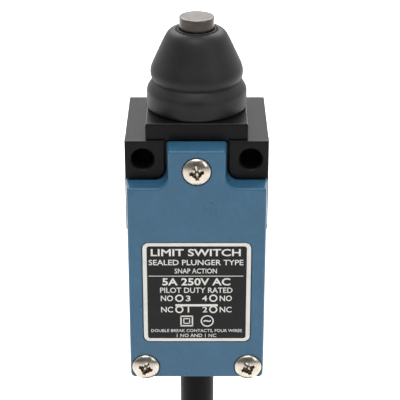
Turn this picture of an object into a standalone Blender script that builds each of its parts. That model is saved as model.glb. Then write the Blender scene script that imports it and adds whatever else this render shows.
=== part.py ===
"""A small sealed limit switch with a plunger, built piece by piece.

Metres, +Z up. The origin lies on the rear mounting face, midway between the two mounting holes. The
front cover faces -Y and the plunger points up, along +Z.
"""

import math

import bmesh
import bpy
from mathutils import Matrix, Vector

MM = 0.001

# Fits
GAP = 0.3 * MM  # between two pieces that touch
RUNNING = 0.06 * MM  # radial play of the plunger in its bush
CLOSE = 0.1 * MM  # round rivets and wires

# Case
HEAD_WIDTH = 28.0 * MM
CASE_DEPTH = 24.1 * MM
CASE_HEIGHT = 51.4 * MM  # head top to case bottom
SIDE_STEP = 0.25 * MM  # the body is this much narrower than the head, each side
PAD_STEP = 0.1 * MM  # the side pads stand this much proud of the head
EAR_HEIGHT = 7.9 * MM
EAR_CORNER = 2.1 * MM  # its lower inner corner
SEAT_DEPTH = 1.5 * MM  # the ears stand this far before the rim that the cover sits on
PAD_HEIGHT = 11.4 * MM
CORNER_RADIUS = 1.0 * MM
SIDE_WALL = 2.6 * MM
BACK_WALL = 3.4 * MM
CEILING = 10.6 * MM  # solid head above the cavity
RIM_STEP = 1.3 * MM  # the step in the rim that the gasket lies in

# Mounting holes
HOLE_DROP = 3.8 * MM  # below the head top
HOLE_EDGE = 3.5 * MM  # in from the side of the head
HOLE_RADIUS = 2.15 * MM

# Raised block and the neck that the boot grips
BLOCK_WIDTH = HEAD_WIDTH - 8.2 * MM
BLOCK_FRONT = 0.8 * MM
BLOCK_BACK = 2.9 * MM
BLOCK_HEIGHT = 3.3 * MM
BLOCK_CHAMFER = 0.35 * MM
BLOCK_ROOT = 0.1 * MM  # how far its foot sinks into the head
NECK_HEIGHT = 5.2 * MM
NECK_BEAD = 0.6 * MM
NECK_GRIP = 0.6  # share of the neck's height below its bead

# Front cover
COVER_FACE = 3.3 * MM  # its face stands this far before the ears
COVER_WIDTH = HEAD_WIDTH - 0.5 * MM
TONGUE_WIDTH = 11.8 * MM
TONGUE_DROP = 0.4 * MM
SHOULDER_DROP = 8.2 * MM
SHOULDER_FILLET = 2.4 * MM
COVER_EDGE = 0.9 * MM
COVER_CORNER = 0.8 * MM
COVER_WALL = 2.2 * MM  # over the pocket in its back

# Cover screws
SCREW_RADIUS = 1.5 * MM
SCREW_HEAD_RADIUS = 2.8 * MM
SCREW_HEAD_HEIGHT = 1.5 * MM
SCREW_LENGTH = 7.2 * MM
SINK_RADIUS = SCREW_HEAD_RADIUS + 0.2 * MM
SINK_DEPTH = 0.7 * MM
TOP_SCREW_DROP = 5.0 * MM
LOW_SCREW_RISE = SCREW_HEAD_RADIUS  # above the case bottom
LOW_SCREW_PITCH = HEAD_WIDTH - 7.0 * MM
FLOOR_ROOM = 2.6 * MM  # from the low screws up to the cavity

# Nameplate
PLATE_WIDTH = COVER_WIDTH - 6.0 * MM
PLATE_HEIGHT = CASE_HEIGHT - 29.0 * MM
PLATE_THICKNESS = 0.35 * MM
PLATE_RISE = 8.65 * MM  # its lower edge above the case bottom
PLATE_RADIUS = 1.2 * MM

# Plunger, its bush and springs
PLUNGER_RADIUS = 3.4 * MM
PLUNGER_TOP = 21.6 * MM  # above the head top
COLLAR_RADIUS = PLUNGER_RADIUS + 1.3 * MM
COLLAR_THICKNESS = 1.0 * MM
COLLAR_DROP = 4.2 * MM  # collar top below the plunger top
PLUNGER_BORE = PLUNGER_RADIUS - 1.3 * MM
PLUNGER_TAIL = 1.3 * MM  # its end below the retaining ring
PLUNGER_EDGE = 0.3 * MM
BUSH_RADIUS = PLUNGER_RADIUS + 1.3 * MM
BUSH_TOP = 4.0 * MM
FLANGE_RADIUS = BUSH_RADIUS + 1.2 * MM
FLANGE_THICKNESS = 1.0 * MM
NECK_RADIUS = BUSH_RADIUS + 2.1 * MM
SEAL_RADIUS = PLUNGER_RADIUS + 0.9 * MM
SEAL_HEIGHT = 0.9 * MM
RING_THICKNESS = 0.6 * MM
RING_RADIUS = PLUNGER_RADIUS + 1.5 * MM
GROOVE_RADIUS = PLUNGER_RADIUS - 0.6 * MM
WIRE_THICK = 0.35 * MM  # wire radius of the return spring
WIRE_THIN = 0.25 * MM  # wire radius of the other springs

# Boot
BOOT_RADIUS = NECK_RADIUS + 3.12 * MM
BOOT_LIP = 19.45 * MM  # above the head top

# Built-in switch
BASE_DROP = 19.2 * MM
CONTACT_DROP = 29.0 * MM
BASE_RISE = 10.0 * MM  # the switch's lower end above the case bottom
FRONT_ROOM = 4.6 * MM  # between the switch and the rim of the case
PUSHER_HEAD = PLUNGER_BORE - 2 * GAP
PUSHER_STEM = 1.1 * MM
CONTACT_TRAVEL = 1.1 * MM
CONTACT_RADIUS = 1.2 * MM
CONTACT_X = 6.2 * MM
TERMINAL_X = 7.8 * MM
TERMINAL_RISE = 6.0 * MM  # terminal screws above and below the contacts
TONGUE_THICKNESS = 0.8 * MM

# Cable
CABLE_RADIUS = 3.6 * MM
CORE_RADIUS = 0.18 * CABLE_RADIUS
CORE_SPREAD = (-0.61 * CABLE_RADIUS, -0.21 * CABLE_RADIUS, 0.21 * CABLE_RADIUS, 0.61 * CABLE_RADIUS)
GLAND_RADIUS = CABLE_RADIUS + 1.1 * MM
GLAND_FLANGE = CABLE_RADIUS + 1.8 * MM
GLAND_LENGTH = 4.2 * MM  # below the case
LEAD_STRAIGHT = 8.0 * MM  # below the gland, before the cable bends back
LEAD_LENGTH = 36.0 * MM  # from the gland to the hank
LEAD_STEPS = 12
LAYER = 2 * CABLE_RADIUS
FOLD_RADIUS = 3 * LAYER
HANK_LAYERS = 4
HANK_STRAIGHT = 10 * LAYER  # between the centres of its two folds
HANK_WAIST = 2.67 * CABLE_RADIUS  # half the distance between the runs under the tie
HANK_REAR_Y = -8.5 * MM  # the rearmost layer's centreline
TAIL_LENGTH = 15.0 * MM
END_CORE_LENGTH = 16.0 * MM

# Places that follow from the sizes above
HEAD_TOP = HOLE_DROP
CASE_BOTTOM = HEAD_TOP - CASE_HEIGHT
FRONT = -CASE_DEPTH
SEAT = FRONT + SEAT_DEPTH
COVER_BACK = SEAT - GAP
COVER_FRONT = FRONT - COVER_FACE
BLOCK_DEPTH = CASE_DEPTH - BLOCK_FRONT - BLOCK_BACK
AXIS_Y = -BLOCK_BACK - BLOCK_DEPTH / 2
BLOCK_TOP = HEAD_TOP + BLOCK_HEIGHT
NECK_TOP = BLOCK_TOP + NECK_HEIGHT
NECK_BEAD_Z = BLOCK_TOP + NECK_GRIP * NECK_HEIGHT
COLLAR_TOP = HEAD_TOP + PLUNGER_TOP - COLLAR_DROP
BORE_RADIUS = BUSH_RADIUS + GAP
HALF_CASE = HEAD_WIDTH / 2 - SIDE_STEP
HALF_CAVITY = HALF_CASE - SIDE_WALL
CAVITY_TOP = HEAD_TOP - CEILING
CAVITY_BOTTOM = CASE_BOTTOM + LOW_SCREW_RISE + FLOOR_ROOM
HOLE_X = HEAD_WIDTH / 2 - HOLE_EDGE
LOW_SCREW_Z = CASE_BOTTOM + LOW_SCREW_RISE
TOP_SCREW_Z = HEAD_TOP - TOP_SCREW_DROP
SCREW_SEAT = COVER_FRONT + SINK_DEPTH
CONTACT_LEVEL = HEAD_TOP - CONTACT_DROP
CABLE_Y = AXIS_Y - 1.0 * MM
SHEATH_TOP = CAVITY_BOTTOM + 1.3 * MM
GLAND_END = CASE_BOTTOM - GLAND_LENGTH
HANK_TOP = GLAND_END - LEAD_LENGTH  # outside of its upper fold
FOLD_HIGH = HANK_TOP - FOLD_RADIUS - CABLE_RADIUS
FOLD_LOW = FOLD_HIGH - HANK_STRAIGHT
HANK_BOTTOM = FOLD_LOW - FOLD_RADIUS - CABLE_RADIUS
HANK_FRONT_Y = HANK_REAR_Y - (HANK_LAYERS - 1) * LAYER

BLACK = (0.012, 0.012, 0.013)
RUBBER = (0.022, 0.022, 0.023)
BLUE = (0.055, 0.15, 0.24)
STEEL = (0.5, 0.48, 0.45)
NICKEL = (0.68, 0.63, 0.56)
BRASS = (0.7, 0.5, 0.2)
SILVER = (0.8, 0.8, 0.78)
PHENOLIC = (0.09, 0.035, 0.015)
SPRING = (0.45, 0.45, 0.46)
PLATE = (0.03, 0.03, 0.03)
SHEATH = (0.013, 0.013, 0.013)


def clear_scene():
    for thing in list(bpy.data.objects):
        bpy.data.objects.remove(thing, do_unlink=True)


def material(name, colour, roughness, metallic=0.0):
    made = bpy.data.materials.get(name) or bpy.data.materials.new(name)
    made.use_nodes = True
    shader = made.node_tree.nodes["Principled BSDF"]
    shader.inputs["Base Color"].default_value = (*colour, 1.0)
    shader.inputs["Roughness"].default_value = roughness
    shader.inputs["Metallic"].default_value = metallic
    return made


def add_mesh(name, shape, place=(0, 0, 0)):
    """An object from a bmesh, with its normals outwards."""
    bmesh.ops.remove_doubles(shape, verts=shape.verts, dist=1e-7)
    bmesh.ops.recalc_face_normals(shape, faces=shape.faces)
    mesh = bpy.data.meshes.new(name)
    shape.to_mesh(mesh)
    shape.free()
    made = bpy.data.objects.new(name, mesh)
    made.location = place
    bpy.context.scene.collection.objects.link(made)
    return made


def dress(thing, skin, smooth=False):
    thing.data.materials.clear()
    thing.data.materials.append(skin)
    if smooth:
        thing.data.shade_smooth()
        thing.data.set_sharp_from_angle(angle=math.radians(35))
    return thing


def block(name, low, high):
    """A box between two corners."""
    shape = bmesh.new()
    size = [b - a for a, b in zip(low, high)]
    centre = [(a + b) / 2 for a, b in zip(low, high)]
    place = Matrix.Translation(centre) @ Matrix.Diagonal((*size, 1))
    bmesh.ops.create_cube(shape, size=1, matrix=place)
    return add_mesh(name, shape)


def slab(name, outline, front, back):
    """An outline in X and Z, extruded along Y."""
    shape = bmesh.new()
    face = shape.faces.new([shape.verts.new((x, front, z)) for x, z in outline])
    grown = bmesh.ops.extrude_face_region(shape, geom=[face])
    moved = [v for v in grown["geom"] if isinstance(v, bmesh.types.BMVert)]
    bmesh.ops.translate(shape, verts=moved, vec=(0, back - front, 0))
    return add_mesh(name, shape)


def turned(name, profile, place, steps=24, lean=None):
    """A profile of (radius, height) points turned about its own Z axis, which lean may tip over."""
    shape = bmesh.new()
    points = [shape.verts.new((r, 0, h)) for r, h in profile]
    for a, b in zip(points, points[1:] + points[:1]):
        if a.co.x > 0 or b.co.x > 0:
            shape.edges.new((a, b))
    bmesh.ops.spin(
        shape,
        geom=list(shape.verts) + list(shape.edges),
        axis=(0, 0, 1),
        cent=(0, 0, 0),
        angle=2 * math.pi,
        steps=steps,
        use_merge=True,
    )
    if lean:
        bmesh.ops.transform(shape, matrix=lean, verts=shape.verts)
    return add_mesh(name, shape, place)


def rod(name, radius, low, high, steps=24):
    """A plain round cutter along Y or Z, between two points on its axis."""
    low, high = Vector(low), Vector(high)
    turn = (high - low).to_track_quat("Z", "Y").to_matrix().to_4x4()
    length = (high - low).length
    return turned(name, [(0, 0), (radius, 0), (radius, length), (0, length)], low, steps, turn)


def combine(target, others, operation="DIFFERENCE"):
    """Cuts the others from the target, or joins them to it, for good."""
    for other in others:
        step = target.modifiers.new(other.name, "BOOLEAN")
        step.operation = operation
        step.solver = "EXACT"
        step.object = other
    bpy.context.view_layer.update()
    graph = bpy.context.evaluated_depsgraph_get()
    mesh = bpy.data.meshes.new_from_object(target.evaluated_get(graph))
    target.modifiers.clear()
    target.data = mesh
    for other in others:
        bpy.data.objects.remove(other, do_unlink=True)
    return target


def rounded_box(half_width, low, high, radius, steps=4):
    """The outline of a rectangle in X and Z with round corners."""
    corners = [
        (half_width - radius, low + radius, -90),
        (half_width - radius, high - radius, 0),
        (radius - half_width, high - radius, 90),
        (radius - half_width, low + radius, 180),
    ]
    points = []
    for x, z, start in corners:
        for step in range(steps + 1):
            angle = math.radians(start + 90 * step / steps)
            points.append((x + radius * math.cos(angle), z + radius * math.sin(angle)))
    return points


def tube(name, points, radius, sides_setting, skin):
    """A round wire or cord along a list of points, with closed ends."""
    curve = bpy.data.curves.new(name, "CURVE")
    curve.dimensions = "3D"
    curve.bevel_depth = radius
    curve.bevel_resolution = sides_setting
    curve.use_fill_caps = True
    line = curve.splines.new("POLY")
    line.points.add(len(points) - 1)
    for point, where in zip(line.points, points):
        point.co = (*where, 1)
    made = bpy.data.objects.new(name, curve)
    bpy.context.scene.collection.objects.link(made)
    curve.materials.append(skin)
    return made


def smooth_line(points, pieces):
    """Points along a smooth curve through the given ones."""
    ends = [2 * Vector(points[0]) - Vector(points[1]), 2 * Vector(points[-1]) - Vector(points[-2])]
    path = [ends[0], *map(Vector, points), ends[1]]
    line = []
    for a, b, c, d in zip(path, path[1:], path[2:], path[3:]):
        for step in range(pieces):
            t = step / pieces
            line.append(
                b
                + (c - a) * (t / 2)
                + (2 * a - 5 * b + 4 * c - d) * (t * t / 2)
                + (3 * b - a - 3 * c + d) * (t * t * t / 2)
            )
    line.append(path[-2])
    return line


def helix(radius, low, high, turns, centre, per_turn):
    """Points of a coil spring that stands along Z, with a flat half turn at each end."""
    points = []
    flat = 0.5
    count = round(turns * per_turn)
    for step in range(count + 1):
        turn = step / per_turn
        rise = min(max((turn - flat) / (turns - 2 * flat), 0), 1)
        angle = 2 * math.pi * turn
        points.append(
            (
                centre[0] + radius * math.cos(angle),
                centre[1] + radius * math.sin(angle),
                low + (high - low) * rise,
            )
        )
    return points


def cross_cutter(seat, depth, arm, width):
    """The driver recess of a screw head, along Z, widest at the top."""
    shape = bmesh.new()
    rings = []
    for height, share in ((seat, 1.0), (seat - depth, 0.55)):
        a, w = arm * share, width * share
        outline = [(a, w), (w, w), (w, a), (-w, a), (-w, w), (-a, w)]
        outline += [(-x, -y) for x, y in outline]
        rings.append([shape.verts.new((x, y, height)) for x, y in outline])
    shape.faces.new(rings[0])
    shape.faces.new(rings[1][::-1])
    bmesh.ops.bridge_loops(shape, edges=[e for e in shape.edges if e.is_boundary])
    return add_mesh("recess", shape)


def screw_mesh(radius, head_radius, head_height, length, steps):
    """A dome-headed screw along Z. Its seat is at height 0 and its head above it."""
    profile = [
        (0, -length),
        (radius * 0.6, -length),
        (radius, -length + 0.5 * MM),
        (radius, 0),
        (head_radius, 0),
        (head_radius, head_height * 0.3),
        (head_radius * 0.86, head_height * 0.68),
        (head_radius * 0.5, head_height * 0.95),
        (0, head_height),
    ]
    made = turned("screw", profile, (0, 0, 0), steps)
    recess = cross_cutter(head_height + 0.2 * MM, head_height * 0.8, head_radius * 0.58, head_radius * 0.15)
    combine(made, [recess])
    mesh = made.data
    bpy.data.objects.remove(made, do_unlink=True)
    return mesh


def place_screw(name, mesh, x, seat, z, skin):
    """A screw driven from the front: its head faces -Y and is seated at y = seat."""
    made = bpy.data.objects.new(name, mesh)
    made.location = (x, seat, z)
    made.rotation_euler = (math.radians(90), 0, 0)
    bpy.context.scene.collection.objects.link(made)
    return dress(made, skin, True)


def case_body(skin):
    half_head = HEAD_WIDTH / 2
    ear = HEAD_TOP - EAR_HEIGHT
    pad_end = ear - PAD_HEIGHT
    half_pad = half_head + PAD_STEP
    right = [
        (half_head, HEAD_TOP),
        (half_head, ear),
        (half_pad, ear - GAP),
        (half_pad, pad_end),
        (HALF_CASE, pad_end),
        (HALF_CASE, CASE_BOTTOM + CORNER_RADIUS),
        (HALF_CASE - CORNER_RADIUS, CASE_BOTTOM),
    ]
    outline = right + [(-x, z) for x, z in reversed(right)]
    body = slab("case_body", outline, SEAT, 0)
    ears = [slab("ear", ear_outline(side), FRONT, SEAT + 1 * MM) for side in (-1, 1)]
    raised = block("raised", (-BLOCK_WIDTH / 2, FRONT + BLOCK_FRONT, HEAD_TOP - BLOCK_ROOT),
                   (BLOCK_WIDTH / 2, -BLOCK_BACK, BLOCK_TOP))
    edges = bmesh.new()
    edges.from_mesh(raised.data)
    top = [e for e in edges.edges if all(v.co.z > HEAD_TOP for v in e.verts)]
    bmesh.ops.bevel(edges, geom=top, offset=BLOCK_CHAMFER, segments=1, affect="EDGES")
    edges.to_mesh(raised.data)
    edges.free()
    neck_profile = [
        (0, HEAD_TOP - 1 * MM),
        (NECK_RADIUS, HEAD_TOP - 1 * MM),
        (NECK_RADIUS, NECK_BEAD_Z),
        (NECK_RADIUS + NECK_BEAD, NECK_BEAD_Z + 0.4 * MM),
        (NECK_RADIUS + NECK_BEAD, NECK_BEAD_Z + 1.2 * MM),
        (NECK_RADIUS, NECK_TOP),
        (0, NECK_TOP),
    ]
    neck = turned("neck", neck_profile, (0, AXIS_Y, 0), 32)
    combine(body, [raised, neck, *ears], "UNION")
    cavity = block("cavity", (-HALF_CAVITY, FRONT - 1 * MM, CAVITY_BOTTOM),
                   (HALF_CAVITY, -BACK_WALL, CAVITY_TOP))
    step = block(
        "step",
        (-HALF_CAVITY - RIM_STEP, FRONT - 1 * MM, CAVITY_BOTTOM - RIM_STEP),
        (HALF_CAVITY + RIM_STEP, SEAT + RIM_STEP, CAVITY_TOP + RIM_STEP),
    )
    recess_top = CAVITY_TOP + FLANGE_THICKNESS + GAP
    bore_profile = [
        (0, CAVITY_TOP - 1 * MM),
        (FLANGE_RADIUS + GAP, CAVITY_TOP - 1 * MM),
        (FLANGE_RADIUS + GAP, recess_top),
        (BORE_RADIUS, recess_top),
        (BORE_RADIUS, NECK_TOP + 1 * MM),
        (0, NECK_TOP + 1 * MM),
    ]
    bore = turned("bore", bore_profile, (0, AXIS_Y, 0), 32)
    cutters = [cavity, step, bore]
    for side in (-1, 1):
        x = side * HOLE_X
        cutters.append(rod("hole", HOLE_RADIUS, (x, FRONT - 1 * MM, 0), (x, 1 * MM, 0)))
        tapped = side * LOW_SCREW_PITCH / 2
        cutters.append(screw_hole(tapped, LOW_SCREW_Z))
        base_screw = switch_screw_place(side)
        end = -BACK_WALL + 2.4 * MM
        cutters.append(rod("peg", 1.55 * MM, (base_screw[0], FRONT + 3 * MM, base_screw[1]),
                           (base_screw[0], end, base_screw[1]), 12))
    cutters.append(screw_hole(0, TOP_SCREW_Z))
    cutters.append(rod("entry", GLAND_RADIUS + GAP, (0, CABLE_Y, CASE_BOTTOM - 1 * MM),
                       (0, CABLE_Y, CAVITY_BOTTOM + 1 * MM), 24))
    combine(body, cutters)
    return dress(body, skin)


def ear_outline(side):
    """A raised ear beside the cover's tongue, its lower inner corner round."""
    inner, low = TONGUE_WIDTH / 2 + GAP, HEAD_TOP - EAR_HEIGHT
    points = [(HEAD_WIDTH / 2, low), (HEAD_WIDTH / 2, HEAD_TOP), (inner, HEAD_TOP)]
    for step in range(5):
        angle = math.radians(180 + 90 * step / 4)
        x = inner + EAR_CORNER + EAR_CORNER * math.cos(angle)
        points.append((x, low + EAR_CORNER + EAR_CORNER * math.sin(angle)))
    return [(side * x, z) for x, z in points]


def screw_hole(x, z):
    """The hole in the case that a cover screw is driven into."""
    tip = SCREW_SEAT + SCREW_LENGTH
    return rod("tapped", SCREW_RADIUS + GAP, (x, FRONT - 1 * MM, z), (x, tip + GAP, z), 12)


def switch_screw_place(side):
    """Where the built-in switch is screwed down, as x and z."""
    base_bottom = CASE_BOTTOM + BASE_RISE
    return side * (HALF_CAVITY - 2.5 * MM), base_bottom + 2.0 * MM


def front_cover(skin):
    half, tongue = COVER_WIDTH / 2, TONGUE_WIDTH / 2
    top, shoulder = HEAD_TOP - TONGUE_DROP, HEAD_TOP - SHOULDER_DROP
    corner, fillet = COVER_CORNER, SHOULDER_FILLET
    right = [(half - corner, CASE_BOTTOM), (half, CASE_BOTTOM + corner)]
    right += [(half, shoulder - corner), (half - corner, shoulder)]
    for step in range(5):
        angle = math.radians(270 - 90 * step / 4)
        right.append(
            (
                tongue + fillet + fillet * math.cos(angle),
                shoulder + fillet + fillet * math.sin(angle),
            )
        )
    right += [(tongue, top - corner), (tongue - corner, top)]
    outline = right + [(-x, z) for x, z in reversed(right)]
    cover = slab("front_cover", outline, COVER_FRONT, COVER_BACK)
    edges = bmesh.new()
    edges.from_mesh(cover.data)
    rim = [e for e in edges.edges if all(v.co.y < COVER_FRONT + 0.1 * MM for v in e.verts)]
    bmesh.ops.bevel(edges, geom=rim, offset=COVER_EDGE, segments=2, profile=0.5, affect="EDGES")
    edges.to_mesh(cover.data)
    edges.free()
    pocket = HALF_CAVITY - 2 * GAP
    cutters = [
        slab("bed", plate_outline(GAP), COVER_FRONT - 1 * MM, plate_back() + GAP),
        block("pocket", (-pocket, COVER_FRONT + COVER_WALL, CAVITY_BOTTOM + 2 * GAP),
              (pocket, COVER_BACK + 1 * MM, CAVITY_TOP - 2 * GAP)),
    ]
    for x, z in screw_places():
        cutters.append(rod("through", SCREW_RADIUS + GAP, (x, COVER_FRONT - 1 * MM, z),
                           (x, COVER_BACK + 1 * MM, z), 16))
        cutters.append(rod("sink", SINK_RADIUS, (x, COVER_FRONT - 1 * MM, z), (x, SCREW_SEAT - GAP / 3, z)))
    combine(cover, cutters)
    return dress(cover, skin)


def screw_places():
    half = LOW_SCREW_PITCH / 2
    return [(0, TOP_SCREW_Z), (-half, LOW_SCREW_Z), (half, LOW_SCREW_Z)]


def plate_back():
    return COVER_FRONT + PLATE_THICKNESS


def plate_outline(grow):
    low = CASE_BOTTOM + PLATE_RISE
    return rounded_box(PLATE_WIDTH / 2 + grow, low - grow, low + PLATE_HEIGHT + grow, PLATE_RADIUS + grow)


def cover_gasket(skin):
    wide = HALF_CAVITY + RIM_STEP - GAP
    low, high = CAVITY_BOTTOM - RIM_STEP + GAP, CAVITY_TOP + RIM_STEP - GAP
    back = SEAT + RIM_STEP - GAP
    ring = block("cover_gasket", (-wide, SEAT, low), (wide, back, high))
    hole = block("hole", (-HALF_CAVITY, FRONT - 1 * MM, CAVITY_BOTTOM), (HALF_CAVITY, 0, CAVITY_TOP))
    return dress(combine(ring, [hole]), skin)


def plunger(skin):
    """Its parts below the head are measured from the cavity's ceiling."""
    ring_top = CAVITY_TOP - GAP
    ring_low = ring_top - RING_THICKNESS
    top = HEAD_TOP + PLUNGER_TOP
    r = PLUNGER_RADIUS
    end = ring_low - PLUNGER_TAIL
    profile = [
        (0, spring_roof()),
        (PLUNGER_BORE, spring_roof()),
        (PLUNGER_BORE, end),
        (r - PLUNGER_EDGE, end),
        (r, end + PLUNGER_EDGE),
        (r, ring_low - CLOSE),
        (GROOVE_RADIUS, ring_low - CLOSE),
        (GROOVE_RADIUS, ring_top + CLOSE),
        (r, ring_top + CLOSE),
        (r, COLLAR_TOP - COLLAR_THICKNESS),
        (COLLAR_RADIUS, COLLAR_TOP - COLLAR_THICKNESS),
        (COLLAR_RADIUS, COLLAR_TOP),
        (r, COLLAR_TOP),
        (r, top - PLUNGER_EDGE),
        (r - PLUNGER_EDGE, top),
        (0, top),
    ]
    return dress(turned("plunger", profile, (0, AXIS_Y, 0), 32), skin, True)


def spring_roof():
    """The closed upper end of the plunger's bore."""
    return HEAD_TOP + 2.5 * MM


def guide_bush(skin):
    low = CAVITY_TOP
    inner = PLUNGER_RADIUS + RUNNING
    seat = seal_seat()
    profile = [
        (inner, HEAD_TOP + BUSH_TOP),
        (BUSH_RADIUS, HEAD_TOP + BUSH_TOP),
        (BUSH_RADIUS, low + FLANGE_THICKNESS),
        (FLANGE_RADIUS, low + FLANGE_THICKNESS),
        (FLANGE_RADIUS, low),
        (SEAL_RADIUS + CLOSE, low),
        (SEAL_RADIUS + CLOSE, seat),
        (inner, seat),
    ]
    return dress(turned("guide_bush", profile, (0, AXIS_Y, 0), 32), skin, True)


def seal_seat():
    """The shoulder inside the bush's flange that the seal lies against."""
    return CAVITY_TOP + SEAL_HEIGHT + GAP


def plunger_seal(skin):
    low = seal_seat() - CLOSE - SEAL_HEIGHT
    inner = PLUNGER_RADIUS + RUNNING
    middle = (inner + SEAL_RADIUS) / 2
    half = (SEAL_RADIUS - inner) / 2
    profile = []
    for step in range(8):
        angle = 2 * math.pi * step / 8
        profile.append((middle + half * math.cos(angle), low + SEAL_HEIGHT / 2 * (1 + math.sin(angle))))
    return dress(turned("plunger_seal", profile, (0, AXIS_Y, 0), 24), skin, True)


def retaining_ring(skin):
    top = CAVITY_TOP - GAP
    inner = GROOVE_RADIUS + CLOSE
    low = top - RING_THICKNESS
    profile = [(inner, top), (RING_RADIUS, top), (RING_RADIUS, low), (inner, low)]
    return dress(turned("retaining_ring", profile, (0, AXIS_Y, 0), 24), skin, True)


def return_spring(skin):
    collar = COLLAR_TOP - COLLAR_THICKNESS
    radius = (PLUNGER_RADIUS + BORE_RADIUS) / 2 - 0.1 * MM
    low = HEAD_TOP + BUSH_TOP + GAP + WIRE_THICK
    points = helix(radius, low, collar - GAP - WIRE_THICK, 7, (0, AXIS_Y), 10)
    return tube("return_spring", points, WIRE_THICK, 1, skin)


def overtravel_spring(skin):
    low = pusher_top() + GAP + WIRE_THIN
    points = helix(PLUNGER_BORE - GAP - WIRE_THIN - 0.1 * MM, low, spring_roof() - GAP - WIRE_THIN, 8,
                   (0, AXIS_Y), 10)
    return tube("overtravel_spring", points, WIRE_THIN, 0, skin)


def pusher_top():
    """The pusher's head reaches this high into the plunger's bore."""
    return CAVITY_TOP - 1.5 * MM


def plunger_boot(skin):
    """A rubber boot: a thick base ring that grips the neck, a waist, and a cone up to a lip."""
    r = BOOT_RADIUS
    base = BLOCK_TOP + GAP
    lip = HEAD_TOP + BOOT_LIP
    outer = [
        (r - 0.62 * MM, base),
        (r, base + 1.0 * MM),
        (r, BLOCK_TOP + 4.2 * MM),
        (r - 0.5 * MM, BLOCK_TOP + 5.1 * MM),
        (r - 1.3 * MM, BLOCK_TOP + 6.0 * MM),
        (r - 0.85 * MM, BLOCK_TOP + 7.3 * MM),
        (r - 0.8 * MM, BLOCK_TOP + 7.9 * MM),
        (r - 1.6 * MM, BLOCK_TOP + 10.1 * MM),
        (r - 3.62 * MM, lip - 1.85 * MM),
        (r - 4.05 * MM, lip - 0.9 * MM),
        (r - 4.85 * MM, lip - 0.15 * MM),
    ]
    throat = PLUNGER_RADIUS + GAP
    grip = NECK_RADIUS + GAP
    inner = [
        (throat + 0.5 * MM, lip),
        (throat, lip - 0.3 * MM),
        (throat, COLLAR_TOP + 0.8 * MM),
        (COLLAR_RADIUS + GAP, COLLAR_TOP + GAP),
        (COLLAR_RADIUS + GAP, COLLAR_TOP - 0.4 * MM),
        (r - 2.7 * MM, BLOCK_TOP + 9.2 * MM),
        (r - 2.3 * MM, BLOCK_TOP + 7.0 * MM),
        (grip + NECK_BEAD, NECK_TOP + GAP),
        (grip + NECK_BEAD, NECK_BEAD_Z),
        (grip, NECK_BEAD_Z - 0.4 * MM),
        (grip, base),
    ]
    return dress(turned("plunger_boot", outer + inner, (0, AXIS_Y, 0), 32), skin, True)


def pusher(skin):
    top = pusher_top()
    flange = CONTACT_LEVEL + 5.6 * MM
    foot = CONTACT_LEVEL - 3.6 * MM
    profile = [
        (0, top),
        (0, foot - 0.8 * MM),
        (1.8 * MM, foot - 0.8 * MM),
        (1.8 * MM, foot),
        (PUSHER_STEM, foot),
        (PUSHER_STEM, flange - 1.2 * MM),
        (3.0 * MM, flange - 1.2 * MM),
        (3.0 * MM, flange),
        (PUSHER_HEAD, flange),
        (PUSHER_HEAD, top),
    ]
    return dress(turned("pusher", profile, (0, AXIS_Y, 0), 20), skin, True)


def switch_base(skin):
    half = HALF_CAVITY - 2 * GAP
    top = HEAD_TOP - BASE_DROP
    bottom = CASE_BOTTOM + BASE_RISE
    level = CONTACT_LEVEL
    front = base_front()
    base = block("switch_base", (-half, front, bottom), (half, -BACK_WALL - GAP, top))
    depth = AXIS_Y + 3.6 * MM
    reach = level_reach() + TONGUE_THICKNESS + GAP
    cutters = [
        block("chamber", (-CONTACT_X - 2.2 * MM, front - 1 * MM, level - reach),
              (CONTACT_X + 2.2 * MM, depth, level + reach)),
        block("channel", (-3.5 * MM, front - 1 * MM, level - 8.9 * MM), (3.5 * MM, depth, level + 7.5 * MM)),
        rod("guide", PUSHER_HEAD + GAP, (0, AXIS_Y, level + 7 * MM), (0, AXIS_Y, top + 1 * MM), 20),
    ]
    for side in (-1, 1):
        for z in (level - TERMINAL_RISE, level + TERMINAL_RISE):
            x = side * TERMINAL_X
            cutters.append(rod("tapped", 1.55 * MM, (x, front - 1 * MM, z), (x, front + 3.9 * MM, z), 12))
        x, z = switch_screw_place(side)
        cutters.append(rod("through", 1.55 * MM, (x, front - 1 * MM, z), (x, 0, z), 12))
    return dress(combine(base, cutters), skin)


def base_front():
    return FRONT + FRONT_ROOM


def level_reach():
    """From the middle of the contact gap to the near side of a terminal's tongue."""
    return CONTACT_TRAVEL / 2 + 0.8 * MM + 0.15 * MM + 0.7 * MM + CLOSE


def switch_plate(skin):
    level = CONTACT_LEVEL
    front = base_front() - GAP
    wide, narrow = 8.2 * MM, 4.4 * MM
    arm = level_reach() - GAP
    right = [(narrow, level - 9.3 * MM), (narrow, level - arm), (wide, level - arm), (wide, level + arm),
             (narrow, level + arm), (narrow, level + 8.5 * MM)]
    outline = right + [(-x, z) for x, z in reversed(right)]
    return dress(slab("switch_plate", outline, front - 0.7 * MM, front), skin)


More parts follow.
